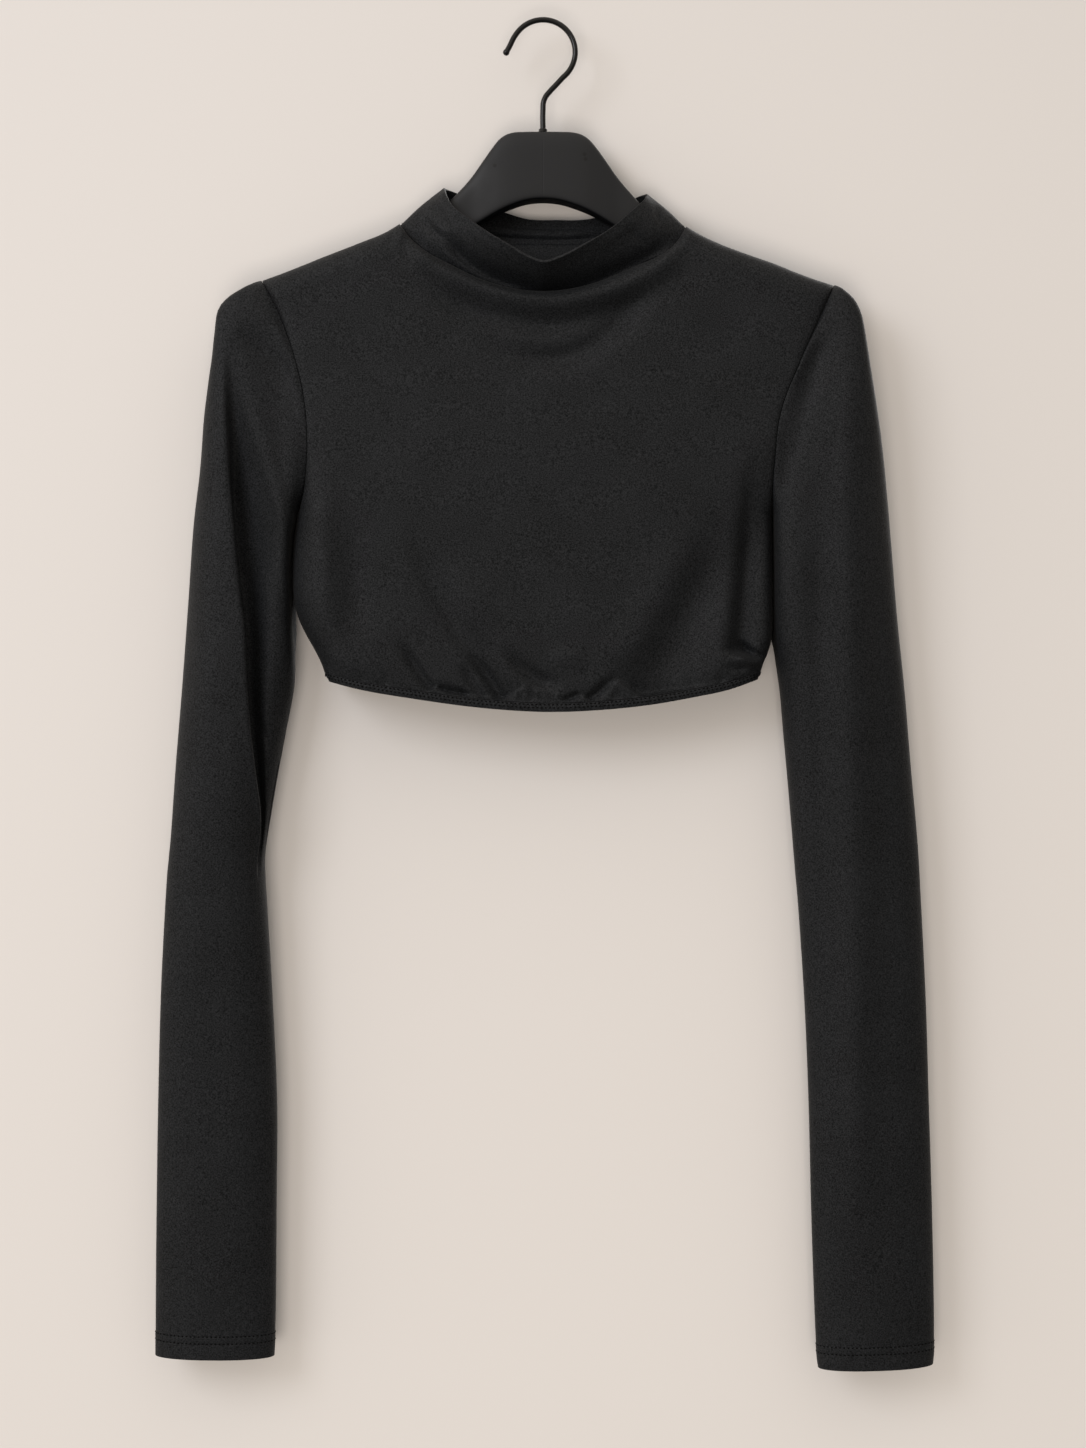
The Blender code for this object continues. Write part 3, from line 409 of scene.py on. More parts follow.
# Slow unevenness of hung cloth: wave length across, wave length down, phase, height.
UNEVEN = ((71.0, 118.0, 0.4, 0.16), (-53.0, 77.0, 2.1, 0.09), (37.0, 96.0, 4.4, 0.05),
          (-97.0, 51.0, 5.2, 0.06))
GATHER_PEAK, GATHER_FADE = 0.1, 0.75
FOLD_POINTS = 33


def fold_relief(x, z, folds):
    """Height of all folds at each place: height * bell(distance from the curve) * fades."""
    relief = np.zeros_like(x)
    for places, lower_flank, upper_flank, height, fade_in, fade_out in folds:
        line = along(places, np.linspace(0.0, 1.0, FOLD_POINTS))
        start, step = line[:-1], np.diff(line, axis=0)
        to_x, to_z = x[..., None] - start[:, 0], z[..., None] - start[:, 1]
        part = np.clip((to_x * step[:, 0] + to_z * step[:, 1]) / (step ** 2).sum(axis=1), 0.0, 1.0)
        off_x, off_z = to_x - part * step[:, 0], to_z - part * step[:, 1]
        away = off_x ** 2 + off_z ** 2
        nearest = np.argmin(away, axis=-1)[..., None]
        side = np.take_along_axis(step[:, 0] * off_z - step[:, 1] * off_x, nearest, -1)[..., 0]
        share = (nearest + np.take_along_axis(part, nearest, -1))[..., 0] / len(step)
        away = np.sqrt(np.take_along_axis(away, nearest, -1))[..., 0]
        flank = np.where(side > 0.0, upper_flank, lower_flank)
        relief += height * bell(away, flank) * ease(share / fade_in) * ease((1.0 - share) / fade_out)
    return relief


def gather_relief(x, above, gathers):
    """Height of all gathers: a bell across each, fading with the height above the band."""
    relief = np.zeros_like(x)
    for gather_x, length, width, depth in gathers:
        relief -= depth * bell(x - gather_x, width) * bell(above - GATHER_PEAK * length, GATHER_FADE * length)
    return relief


def unevenness(x, z):
    """Sum of slow sines, so no stretch of cloth is perfectly even."""
    return sum(height * np.sin(2.0 * np.pi * (x / across + z / down) + phase)
               for across, down, phase, height in UNEVEN)


print("folds:", len(NECK_FOLDS + FRONT_FOLDS + BACK_FOLDS), "gathers:", len(FRONT_GATHERS + BACK_GATHERS))

# %% [markdown]
# ## Front and back panel
# A panel is a flat blank held by four seams.  In the plane of the hanger it fills the space
# between them as a blend of opposite edges.  Its depth then rises from each seam over a
# rounded shoulder, and the folds are added to that.  A last narrow strip turns in to the seam,
# and at the band the cloth runs on behind its neighbour, as a seam allowance does.

# %% Panels
HEM_CROWDING, ARM_CROWDING, SIDE_CROWDING = 0.3, 0.72, 1.5
BACK_SHIFT = 57.0  # gives the back its own unevenness


def roll(distance, radius):
    """Rounded shoulder, 0 on the edge and 1 from radius on: (1 - (1 - d/r)^p)^(1/p)."""
    share = np.clip(distance / radius, 0.0, 1.0)
    return (1.0 - (1.0 - share) ** ROLL_POWER) ** (1.0 / ROLL_POWER)


def top_edge(neck, across):
    """Shoulder seam, neck seam and shoulder seam as one line (x, z)."""
    right = along(SHOULDER_RIGHT, np.clip(across / NECK_SHARE, 0.0, 1.0))
    left = along(SHOULDER_LEFT, np.clip((1.0 - across) / NECK_SHARE, 0.0, 1.0))
    middle = along(neck, np.clip((across - NECK_SHARE) / (1.0 - 2.0 * NECK_SHARE), 0.0, 1.0))
    edge = np.where((across < NECK_SHARE)[:, None], right, middle)
    return np.where((across > 1.0 - NECK_SHARE)[:, None], left, edge)


def side_edge(armhole, side, down):
    """Armhole seam, then side seam (x, depth, z)."""
    upper = along(armhole, np.clip(down / ARMHOLE_SHARE, 0.0, 1.0))
    lower = along(side, np.clip((down - ARMHOLE_SHARE) / (1.0 - ARMHOLE_SHARE), 0.0, 1.0))
    lower = np.stack([lower[:, 0], np.zeros(len(down)), lower[:, 1]], axis=1)
    return np.where((down <= ARMHOLE_SHARE)[:, None], upper, lower)


def hem_edge(hem, across):
    """Lower edge of the band (x, z), its places closer together at the side seams."""
    middle_out = 2 * across - 1
    crowded = (1 - HEM_CROWDING) * middle_out + HEM_CROWDING * np.sin(np.pi * middle_out / 2)
    return along(hem, 0.5 + 0.5 * crowded)


def oval_depth(share, depth, power):
    """Depth of a flattened ring: depth * (1 - |share|^p)^(1/p)."""
    return depth * (1.0 - np.clip(np.abs(share), 0.0, 1.0) ** power) ** (1.0 / power)


def band_depth(x, depth):
    """Depth of the band's ring at each x."""
    middle = 0.5 * (HEM_FRONT[-1][0] + HEM_FRONT[0][0])
    half = 0.5 * (HEM_FRONT[-1][0] - HEM_FRONT[0][0])
    return oval_depth((x - middle) / half, depth, BAND_ROUNDNESS)


def panel(front, across, down):
    """Panel as points: blend of opposite edges less the corners' blend, plus its depth."""
    neck, hem = (NECK_FRONT, HEM_FRONT) if front else (NECK_BACK, HEM_BACK)
    top = top_edge(neck, across)
    bottom = hem_edge(hem, across) + (0.0, BAND_HEIGHT + HALF_SEAM)
    right = side_edge(ARMHOLE_RIGHT, SIDE_RIGHT, down)
    left = side_edge(ARMHOLE_LEFT, SIDE_LEFT, down)
    a, d = across[None, :, None], down[:, None, None]
    flat_right, flat_left = right[:, None, ::2], left[:, None, ::2]
    ends = np.array([0.0, 1.0])
    high, low = top_edge(neck, ends), hem_edge(hem, ends) + (0.0, BAND_HEIGHT + HALF_SEAM)
    corners = (1 - d) * ((1 - a) * high[0] + a * high[1]) + d * ((1 - a) * low[0] + a * low[1])
    flat = (1 - d) * top[None] + d * bottom[None] + (1 - a) * flat_right + a * flat_left - corners
    x, z = flat[..., 0], flat[..., 1]

    table = np.array(PANEL_DEPTH)[::-1]
    body = smooth_between(table[:, 0], table[:, 1 if front else 2], z)
    from_right = np.linalg.norm(flat - flat_right, axis=2)
    from_left = np.linalg.norm(flat - flat_left, axis=2)
    side_share = roll(np.minimum(from_right, from_left), SIDE_ROLL)
    edge = np.where(across[None, :] < 0.5, right[:, 1:2], left[:, 1:2])
    edge = edge * (1.0 if front else ARMHOLE_BACK_SHARE)
    depth = edge + (body - edge) * side_share

    on_neck = (across > NECK_SHARE) & (across < 1.0 - NECK_SHARE)
    from_top = np.linalg.norm(flat - top[None], axis=2)
    neck_depth = NECK_DEPTH_FRONT if front else NECK_DEPTH_BACK
    neck_depth = oval_depth(top[:, 0] / NECK_FRONT[-1][0], neck_depth, NECK_ROUNDNESS)
    if front:
        neck_depth = neck_depth - NECK_RECESS * bell(top[:, 0] - NECK_RECESS_X, NECK_RECESS_WIDTH)
    top_depth = np.where(on_neck, neck_depth, 0.0)
    to_corner = np.minimum(np.abs(across - NECK_SHARE), np.abs(across - (1.0 - NECK_SHARE)))
    settled = np.clip(to_corner / (0.5 * NECK_SHARE), 0.0, 1.0)
    top_radius = np.where(on_neck, SHOULDER_ROLL + (NECK_ROLL - SHOULDER_ROLL) * settled, SHOULDER_ROLL)
    top_share = roll(from_top, top_radius[None, :])
    relief = fold_relief(x, z, FRONT_FOLDS if front else BACK_FOLDS)
    relief += gather_relief(x, z - bottom[None, :, 1], FRONT_GATHERS if front else BACK_GATHERS)
    relief += unevenness(x, z + (0.0 if front else BACK_SHIFT))
    if front:
        depth = depth + fold_relief(x, z, NECK_FOLDS)
    depth = top_depth + (depth - top_depth) * top_share

    from_bottom = np.linalg.norm(flat - bottom[None], axis=2)
    bottom_depth = band_depth(bottom[:, 0], BAND_DEPTH_FRONT if front else BAND_DEPTH_BACK)
    settled, pinched = (1.0 - (1.0 - np.clip(from_bottom / length, 0.0, 1.0)) ** 2
                        for length in (HEM_SETTLE, HEM_PINCH))
    depth = bottom_depth + (depth - bottom_depth) * settled + relief * side_share * top_share * pinched
    y = depth + HALF_SEAM
    return np.stack([x, -y if front else y, z], axis=-1)


def shares_across(neck_columns, shoulder_columns):
    """Shares across a panel, with a narrow turned strip at both side seams."""
    right = np.concatenate([[0.0, SEAM_TURN], np.linspace(0.0, NECK_SHARE, shoulder_columns + 1)[1:-1]])
    neck = np.linspace(NECK_SHARE, 1.0 - NECK_SHARE, neck_columns + 1)
    return np.concatenate([right, neck, 1.0 - right[::-1]])


def shares_down(armhole_rows, side_rows):
    """Shares down a panel: the armhole, closer at its ends, then the side, closer at the band."""
    step = np.arange(1, armhole_rows + 1) / armhole_rows
    arm = (step - ARM_CROWDING * np.sin(2 * np.pi * step) / (2 * np.pi)) * ARMHOLE_SHARE
    step = np.arange(1, side_rows + 1) / side_rows
    side = ARMHOLE_SHARE + (1.0 - (1.0 - step) ** SIDE_CROWDING) * (1.0 - ARMHOLE_SHARE)
    return np.concatenate([[0.0, SEAM_TURN], arm]), np.concatenate([[0.0, SEAM_TURN], arm, side])


def tucked(grid, inward, onward, length=1.0):
    """Grid with four rows more: the edge turns inward, then runs on behind its neighbour."""
    steps = ((0.5, 0.0), (1.0, 0.05), (1.05, 0.35), (1.05, 1.0))
    rows = [grid[-1] + inward * TUCK_IN * step_in + onward * TUCK_ON * length * step_on
            for step_in, step_on in steps]
    return np.concatenate([grid, np.stack(rows)])


ACROSS = shares_across(152, 30)
ARM_DOWN, DOWN = shares_down(92, 112)
INTO, DOWNWARD = np.array([0.0, 1.0, 0.0]), np.array([0.0, 0.0, -1.0])
front_grid = tucked(panel(True, ACROSS, DOWN), INTO, DOWNWARD)
back_grid = tucked(panel(False, ACROSS[::2], np.append(DOWN[:-1:2], 1.0)), -INTO, DOWNWARD)
print("panel grid:", front_grid.shape[:2], "front reaches", round(-front_grid[..., 1].min(), 1), "mm")


# %% [markdown]
# ## From a surface to cloth
# Jersey is about a millimetre thick.  The surface gets that wall on its inner side, and the cut
# or folded edges are rounded, so they catch the light as real edges do.

# %% Cloth pieces
CLOTH_THICKNESS = 1.1
EDGE_ROUNDING = 0.32
EDGE_ANGLE = np.radians(62.0)


def stand_in(piece, material, nodes):
    """Give the piece its material and body; it is shown for the named measured solids."""
    piece.data.materials.append(material)
    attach(piece, "root")
    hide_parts(*nodes)
    print(piece.name, "faces", len(piece.data.polygons),
          "area", round(sum(face.area for face in piece.data.polygons), 4), "m2")
    return piece


def cloth_piece(name, grid, nodes, closed=False, flip=False, thickness=CLOTH_THICKNESS,
                rounding=EDGE_ROUNDING):
    """Open grid thickened inwards, with rounded edges."""
    piece = grid_mesh(name, grid, closed, flip)
    wall = piece.modifiers.new("Wall", "SOLIDIFY")
    wall.thickness = thickness * MM
    wall.offset = -1.0
    edge = piece.modifiers.new("Rounded edge", "BEVEL")
    edge.width = rounding * MM
    edge.segments = 2
    edge.limit_method = "ANGLE"
    edge.angle_limit = EDGE_ANGLE
    return stand_in(piece, jersey, nodes)


front_piece = cloth_piece("Front_Panel", front_grid, ["top_front"], flip=True)
back_piece = cloth_piece("Back_Panel", back_grid, ["top_back"])

# %% [markdown]
# ## Mock neck
# The collar is a straight band, folded along its top edge and sewn to the neck seam.  It is
# longer than the neck is wide, so at the front it sags and leans out over its own seam.  The
# surface runs from the seam up to the fold, over it and down again on the inside.

# %% Collar
COLLAR_WALL = 1.7
COLLAR_FOLD_ROUNDING = 0.75
COLLAR_RISE_ROWS = 34
COLLAR_BULGE = 1.3
COLLAR_END_COLUMNS = 9.0
EDGE_FADE = 0.4
# How much further the strip behind the collar runs on at its middle, and over what width.
FACING_LENGTH, FACING_WIDTH = 5.5, 48.0
# Free edge (x, depth, z).
COLLAR_EDGE_FRONT = (
    (-62.4, 0.0, -104.2), (-61.4, 10.5, -109.5), (-57.5, 19.0, -118.6), (-45.8, 26.8, -129.7),
    (-34.6, 31.2, -138.6), (-20.8, 33.6, -147.5), (-9.0, 35.2, -154.8), (0.6, 35.6, -158.0),
    (10.5, 34.2, -154.8), (26.4, 30.8, -145.8), (40.0, 26.2, -136.8), (57.6, 17.5, -120.5),
    (64.2, 9.0, -112.8), (65.6, 0.0, -108.0),
)
COLLAR_EDGE_BACK = (
    (-62.4, 0.0, -104.2), (-60.6, 5.5, -104.0), (-56.5, 9.5, -104.8), (-51.0, 12.0, -107.0),
    (-42.0, 14.0, -111.0), (-23.0, 16.0, -117.0), (-11.0, 17.0, -120.4), (8.0, 17.0, -121.2),
    (30.0, 15.5, -120.6), (46.0, 13.0, -116.0), (55.0, 10.5, -110.6), (60.5, 8.0, -108.0),
    (64.0, 4.0, -107.6), (65.6, 0.0, -108.0),
)
# Creases where the band buckles over its seam, in the columns of the folds above.
COLLAR_FOLDS_FRONT = (
    (((-68, -132), (-57, -145), (-40, -158.5), (-20, -166.5), (6, -169.5)), 2.6, 5.5, -4.6, 0.30, 0.35),
    (((84, -137), (71, -148), (56, -157.5), (40, -164.5), (18, -168.8)), 5.5, 2.6, -4.6, 0.30, 0.35),
    (((-70, -116), (-63, -125), (-60, -136)), 2.6, 2.6, -2.1, 0.35, 0.35),
    (((-76, -122), (-70, -132), (-60, -142)), 2.8, 2.4, -1.7, 0.35, 0.35),
    (((-52, -130), (-36, -143), (-16, -154)), 3.0, 3.0, 0.9, 0.30, 0.30),
    (((73, -114), (71, -122), (74, -131)), 2.4, 2.6, -1.0, 0.35, 0.35),
    (((62, -122), (48, -136), (30, -148)), 3.0, 3.0, 0.8, 0.30, 0.30),
    (((54, -132), (60, -140), (68, -144)), 2.2, 2.6, -1.0, 0.35, 0.35),
)
COLLAR_FOLDS_BACK = (
    (((-50, -127), (-18, -129.5), (12, -130.5), (48, -128)), 2.2, 2.0, -2.4, 0.30, 0.30),
    (((-66, -116), (-58, -124), (-44, -132)), 3.0, 2.6, -1.3, 0.35, 0.35),
    (((66, -118), (60, -126), (46, -133)), 3.0, 2.6, -1.2, 0.35, 0.35),
)


def ring_of(front, back):
    """Closed ring: along the front, then back along the back without its two ends."""
    ring = np.concatenate([front, back[-2:0:-1]])
    ring[0, 1] = ring[len(front) - 1, 1] = 0.0
    return ring


def collar(rise_rows):
    """Straight lines from the seam ring to the edge ring, bowed by small creases."""
    neck = ACROSS[(ACROSS > NECK_SHARE - 1e-9) & (ACROSS < 1.0 - NECK_SHARE + 1e-9)]
    top = np.array([0.0])
    seam = ring_of(panel(True, neck, top)[0], panel(False, neck, top)[0])
    share = np.linspace(0.0, 1.0, len(neck))
    edge = ring_of(along(COLLAR_EDGE_FRONT, share) * (1.0, -1.0, 1.0), along(COLLAR_EDGE_BACK, share))
    up = np.linspace(0.0, 1.0, rise_rows)[:, None]
    grid = seam[None] + (edge - seam)[None] * up[..., None]
    grid[0, :, 2] += HALF_SEAM
    heading = np.roll(seam, -1, axis=0) - np.roll(seam, 1, axis=0)
    inward = unit(np.stack([-heading[:, 1], heading[:, 0], np.zeros(len(seam))], axis=1))
    x, z = grid[..., 0], grid[..., 2]
    column = np.arange(len(seam))
    folds = np.where(column < len(neck), fold_relief(x, z, COLLAR_FOLDS_FRONT),
                     fold_relief(x, z, COLLAR_FOLDS_BACK))
    away = np.minimum(np.minimum(np.abs(column - (len(neck) - 1)), column), len(seam) - column)
    relief = folds * ease(away / COLLAR_END_COLUMNS) + COLLAR_BULGE * np.sin(np.pi * up)
    relief *= np.sin(np.pi * up) ** EDGE_FADE
    grid = grid - inward * relief[..., None]
    facing = (1.0 + FACING_LENGTH * bell(seam[:, 0], FACING_WIDTH))[:, None]
    return tucked(grid[::-1], inward, DOWNWARD, facing)[::-1]


collar_grid = collar(COLLAR_RISE_ROWS)
collar_piece = cloth_piece("Collar_Band", collar_grid, ["collar"], closed=True,
                           thickness=COLLAR_WALL, rounding=COLLAR_FOLD_ROUNDING)

# %% [markdown]
# ## Sleeves
# A sleeve is a tube that hangs flat: its section is a flattened oval between an outer and an
# inner edge.  The seam ring of the armhole is taken from the panels, so the sleeve meets them
# all round.  The right sleeve is turned a little, and its front lobe lies over the cloth behind
# it: there the section runs through a narrow S.

# %% Sleeve tables
# Sections below the armhole:
# outer x, outer z, inner x, inner z, front depth, back depth, step behind the fold.
SLEEVE_RIGHT = (
    (-188.0, -169.6, -155.4, -318.0, 24.0, 19.0, 0.0),
    (-196.6, -175.2, -156.8, -324.0, 25.2, 21.0, 0.0),
    (-203.0, -183.2, -157.6, -331.0, 25.8, 22.0, 0.8),
    (-205.2, -196.6, -158.0, -340.0, 26.0, 23.0, 2.4),
    (-207.0, -212.0, -158.2, -351.0, 26.5, 23.5, 4.0),
    (-209.5, -228.0, -158.0, -364.0, 27.0, 24.0, 5.3),
    (-212.5, -250.0, -157.8, -378.0, 27.0, 24.0, 6.4),
    (-215.2, -282.0, -156.6, -396.0, 27.0, 24.0, 7.0),
    (-219.6, -317.0, -156.8, -418.0, 27.0, 24.0, 7.5),
    (-223.3, -368.7, -161.9, -446.0, 27.0, 23.0, 7.8),
    (-227.1, -420.3, -167.2, -474.0, 26.5, 22.0, 8.2),
    (-230.9, -466.3, -171.6, -500.0, 25.0, 20.5, 7.4),
    (-234.0, -509.8, -174.9, -523.0, 22.5, 19.0, 2.6),
    (-235.6, -527.0, -174.9, -538.0, 21.7, 18.5, 0.2),
    (-237.2, -546.3, -173.8, -556.0, 21.0, 18.0, 0.0),
    (-240.5, -610.0, -170.5, -612.0, 19.0, 16.5, 0.0),
    (-242.3, -680.0, -167.5, -680.0, 17.5, 15.0, 0.0),
    (-243.3, -745.0, -167.8, -745.0, 16.5, 14.0, 0.0),
    (-243.8, -800.0, -168.2, -800.0, 15.5, 13.5, 0.0),
    (-243.9, -827.7, -168.8, -828.3, 15.0, 13.0, 0.0),
    (-243.9, -838.7, -169.3, -839.3, 15.0, 13.0, 0.0),
)
SLEEVE_LEFT = (
    (188.0, -170.2, 144.4, -318.0, 23.0, 19.0, 0.0),
    (194.2, -176.0, 144.5, -324.0, 24.5, 21.0, 0.0),
    (199.2, -186.0, 144.6, -331.0, 25.5, 22.0, 0.0),
    (202.5, -203.6, 144.7, -341.0, 26.5, 23.0, 0.0),
    (205.7, -222.5, 144.7, -353.0, 27.0, 23.5, 0.0),
    (209.3, -243.9, 144.7, -367.0, 27.5, 24.0, 0.0),
    (212.6, -265.4, 144.9, -384.0, 27.5, 24.0, 0.0),
    (215.5, -290.0, 146.4, -401.0, 27.5, 24.0, 0.0),
    (218.9, -327.5, 149.2, -422.0, 27.0, 23.5, 0.0),
    (222.7, -373.7, 151.4, -448.0, 26.0, 22.5, 0.0),
    (227.7, -422.9, 153.6, -472.0, 24.5, 21.5, 0.0),
    (231.5, -468.9, 156.0, -500.0, 23.0, 20.0, 0.0),
    (235.7, -515.5, 158.6, -532.0, 21.5, 18.5, 0.0),
    (237.8, -551.4, 161.0, -560.0, 20.5, 17.5, 0.0),
    (241.0, -616.3, 164.8, -619.0, 19.0, 16.5, 0.0),
    (242.9, -679.3, 167.3, -680.0, 17.5, 15.0, 0.0),
    (244.8, -742.3, 168.8, -743.0, 16.5, 14.0, 0.0),
    (246.0, -799.0, 170.6, -800.0, 15.5, 13.5, 0.0),
    (246.2, -833.3, 172.2, -835.9, 15.0, 13.0, 0.0),
    (245.4, -844.3, 173.4, -846.9, 15.0, 13.0, 0.0),
)
# Edge of the right sleeve's front lobe (z, x).
SLEEVE_FOLD = (
    (-206.0, -200.0), (-236.0, -193.2), (-272.0, -190.6), (-320.7, -190.8), (-345.0, -190.0),
    (-369.0, -188.3), (-393.0, -187.6), (-417.6, -186.6), (-441.8, -185.2), (-466.0, -182.6),
    (-490.0, -179.4), (-514.5, -176.4), (-560.0, -176.5), (-620.0, -186.0), (-700.0, -198.0),
    (-840.0, -204.0),
)
# Above the first height the fold is a soft trough, below the second it laps over.
FOLD_LAPS = (-215.0, -330.0)
SLEEVE_ROUNDNESS, HEAD_ROUNDNESS, HEAD_SHARE = 2.2, 6.0, 0.46
FOLD_START, FOLD_END = 0.42, 0.62
FOLD_SPAN, SOFT_SPAN = 0.03, 0.11
FOLD_LEAD, SOFT_LEAD = 0.3, -0.25
FOLD_LEAN = 0.34
FOLD_REACH = (0.30, 0.93)
FOLD_SMOOTHING = 13
LOBE_RAISE = 0.2
UNDERCUT, UNDERCUT_WIDTH, SOFT_WIDTH, SOFT_LOSS = 1.5, 0.085, 0.03, 0.45
BACK_LAP, LAP_PLACE, LAP_WIDTH = 1.7, 0.93, 0.05
LAP_END_ROW, LAP_FADE = 0.37, 0.06
SLEEVE_UNEVEN, SLEEVE_SHIFT = 0.8, 31.0
# Drag folds of the sleeve heads and slow folds below, as the folds above.
SLEEVE_FOLDS = (
    (((-190, -194), (-174, -210), (-155, -227)), 6.0, 7.0, -2.4, 0.40, 0.15),
    (((-153, -236), (-150.5, -262), (-153.5, -288), (-158, -312), (-159.5, -345), (-160.5, -381),
      (-166, -432)),
     10.0, 4.0, 1.9, 0.15, 0.30),
    (((178, -200), (168, -220), (154, -240)), 5.0, 6.0, -2.6, 0.35, 0.15),
    (((190, -196), (189, -225), (189, -290), (191, -370), (192, -460), (194, -530), (195, -640),
      (196, -790)),
     9.0, 12.0, 2.6, 0.10, 0.20),
    (((168, -260), (170, -330), (171, -440), (175, -560), (181, -700)), 8.0, 8.0, -2.2, 0.30, 0.35),
    (((206, -300), (210, -420), (214, -540), (217, -680)), 9.0, 9.0, -1.3, 0.35, 0.35),
    (((-203, -230), (-208, -300), (-211, -400), (-214, -500)), 9.0, 12.0, 1.8, 0.25, 0.35),
    (((-182, -436), (-175, -446), (-169, -457)), 1.8, 1.8, -1.2, 0.40, 0.40),
    (((-212, -560), (-206, -640), (-210, -740)), 13.0, 13.0, -0.9, 0.45, 0.45),
)


# %% [markdown]
# The rings between the armhole seam and the first free section follow a cubic: it leaves the
# seam outwards, which gives the soft ridge beside a set-in sleeve's seam, and it joins the
# section with the section's own slope.

# %% Sleeve surface
HEAD_START, HEAD_SWELL, HEAD_REACH, HEAD_END = 0.6, 0.5, 8.0, 1.2
HEAD_SETTLE, SIDE_SETTLE = 1.5, 4.0


def powered(wave, power):
    """Coordinate of a superellipse: a sine or cosine whose size is raised to a power."""
    return np.sign(wave) * np.abs(wave) ** power


def sleeve_sections(table, at, share, front, folded):
    """Sections as points: a superellipse arch between the outer and the inner edge."""
    table = np.array(table)
    row = smooth_between(np.linspace(0.0, 1.0, len(table)), table, at)
    outer_x, outer_z, inner_x, inner_z, front_depth, back_depth, step = (row[:, [i]] for i in range(7))
    leaning = np.zeros((len(at), len(share)))
    share = np.broadcast_to(share, leaning.shape)
    if front and folded:
        line = np.array(SLEEVE_FOLD)[::-1]
        probe = np.linspace(0.0, 1.0, 401)[None]
        gap = np.abs(outer_x + (inner_x - outer_x) * probe
                     - smooth_between(line[:, 0], line[:, 1], outer_z + (inner_z - outer_z) * probe))
        place = np.clip(probe[0][np.argmin(gap, axis=1)], *FOLD_REACH)
        place = np.convolve(np.pad(place, FOLD_SMOOTHING // 2, mode="edge"),
                            np.ones(FOLD_SMOOTHING) / FOLD_SMOOTHING, mode="valid")[:, None]
        middle = np.arccos(1.0 - 2.0 * place) / np.pi
        height = outer_z + (inner_z - outer_z) * place
        soft = ease((height - FOLD_LAPS[1]) / (FOLD_LAPS[0] - FOLD_LAPS[1]))
        span = FOLD_SPAN + SOFT_SPAN * soft
        lead = FOLD_LEAD + SOFT_LEAD * soft
        raw = share
        turning = np.clip((share - FOLD_START) / (FOLD_END - FOLD_START), 0.0, 1.0)
        start, end = middle - lead * span, middle + (1.0 - lead) * span
        after = end + (share - FOLD_END) / (1.0 - FOLD_END) * (1.0 - end)
        share = np.where(raw > FOLD_END, after, start + turning * span)
        share = np.where(raw < FOLD_START, raw / FOLD_START * start, share)
    squarer = (1.0 - ease(at / HEAD_SHARE))[:, None]
    power = 2.0 / (SLEEVE_ROUNDNESS + (HEAD_ROUNDNESS - SLEEVE_ROUNDNESS) * squarer)
    sine = np.abs(np.sin(np.pi * share))
    across = 0.5 * (1.0 - powered(np.cos(np.pi * share), power))
    depth = sine ** power * (front_depth if front else back_depth)
    if front and folded:
        lobe = LOBE_RAISE * ease(raw / FOLD_START) * (1.0 - ease(turning))
        undercut = (UNDERCUT * (1.0 - SOFT_LOSS * soft) * ease(turning)
                    * bell(raw - FOLD_END, UNDERCUT_WIDTH + SOFT_WIDTH * soft))
        depth = depth + step * (lobe - (ease(turning) + undercut) * sine ** EDGE_FADE)
        leaning = FOLD_LEAN * (1.0 - soft) * step * np.sin(2 * np.pi * turning)
    x = outer_x + (inner_x - outer_x) * across + leaning
    z = outer_z + (inner_z - outer_z) * across
    if not front:
        beside_body = ease((LAP_END_ROW - at[:, None]) / LAP_FADE)
        x = x + np.sign(inner_x - outer_x) * BACK_LAP * bell(share - LAP_PLACE, LAP_WIDTH) * beside_body
    depth = depth + unevenness(x, z + SLEEVE_SHIFT) * sine * SLEEVE_UNEVEN
    return np.stack([x, -depth if front else depth, z], axis=-1)


def sleeve(left_arm, head_rows, rows):
    """Armhole ring, cubic sleeve head, then the free sections down to the cuff."""
    table = SLEEVE_LEFT if left_arm else SLEEVE_RIGHT
    ends = np.array([0.0, 1.0])
    column = 1 if left_arm else 0
    ring = ring_of(panel(True, ends, ARM_DOWN)[:, column], panel(False, ends, ARM_DOWN)[:, column])
    ring[:, 0] += ARMHOLE_GAP if left_arm else -ARMHOLE_GAP
    share = np.arange(len(ARM_DOWN)) / (len(ARM_DOWN) - 1)
    lengths = lengths_along(np.array(table)[:, :2])
    lengths = 0.5 * (lengths + lengths_along(np.array(table)[:, 2:4]))
    at = np.interp(rows, lengths / lengths[-1], np.linspace(0.0, 1.0, len(table)))
    front = sleeve_sections(table, at, share, True, not left_arm)
    back = sleeve_sections(table, at, share, False, not left_arm)
    free = np.concatenate([front, back[:, -2:0:-1]], axis=1)

    first = free[0]
    slope = (free[1] - first) / (rows[1] - rows[0]) / lengths[-1]
    reach = np.linalg.norm(first - ring, axis=1, keepdims=True)
    outward = unit((ring - ring.mean(axis=0)) * (0.0, 1.0, 1.0))
    start_slope = (first - ring) * HEAD_START + outward * HEAD_SWELL * np.minimum(reach, HEAD_REACH)
    down = np.linspace(0.0, 1.0, head_rows, endpoint=False)[:, None, None]
    grid = np.concatenate([cubic(down, ring, first, start_slope, slope * reach * HEAD_END), free])
    front = grid[:, :len(share)]
    settled = ease(HEAD_SETTLE * np.arange(len(grid)) / head_rows)[:, None]
    settled = settled * np.clip(SIDE_SETTLE * np.sin(np.pi * share), 0.0, 1.0)
    front[..., 1] -= fold_relief(front[..., 0], front[..., 2], SLEEVE_FOLDS) * settled
    to_body = np.array([-1.0 if left_arm else 1.0, 0.0, 0.0])
    return tucked(grid[::-1], -outward, to_body)[::-1]


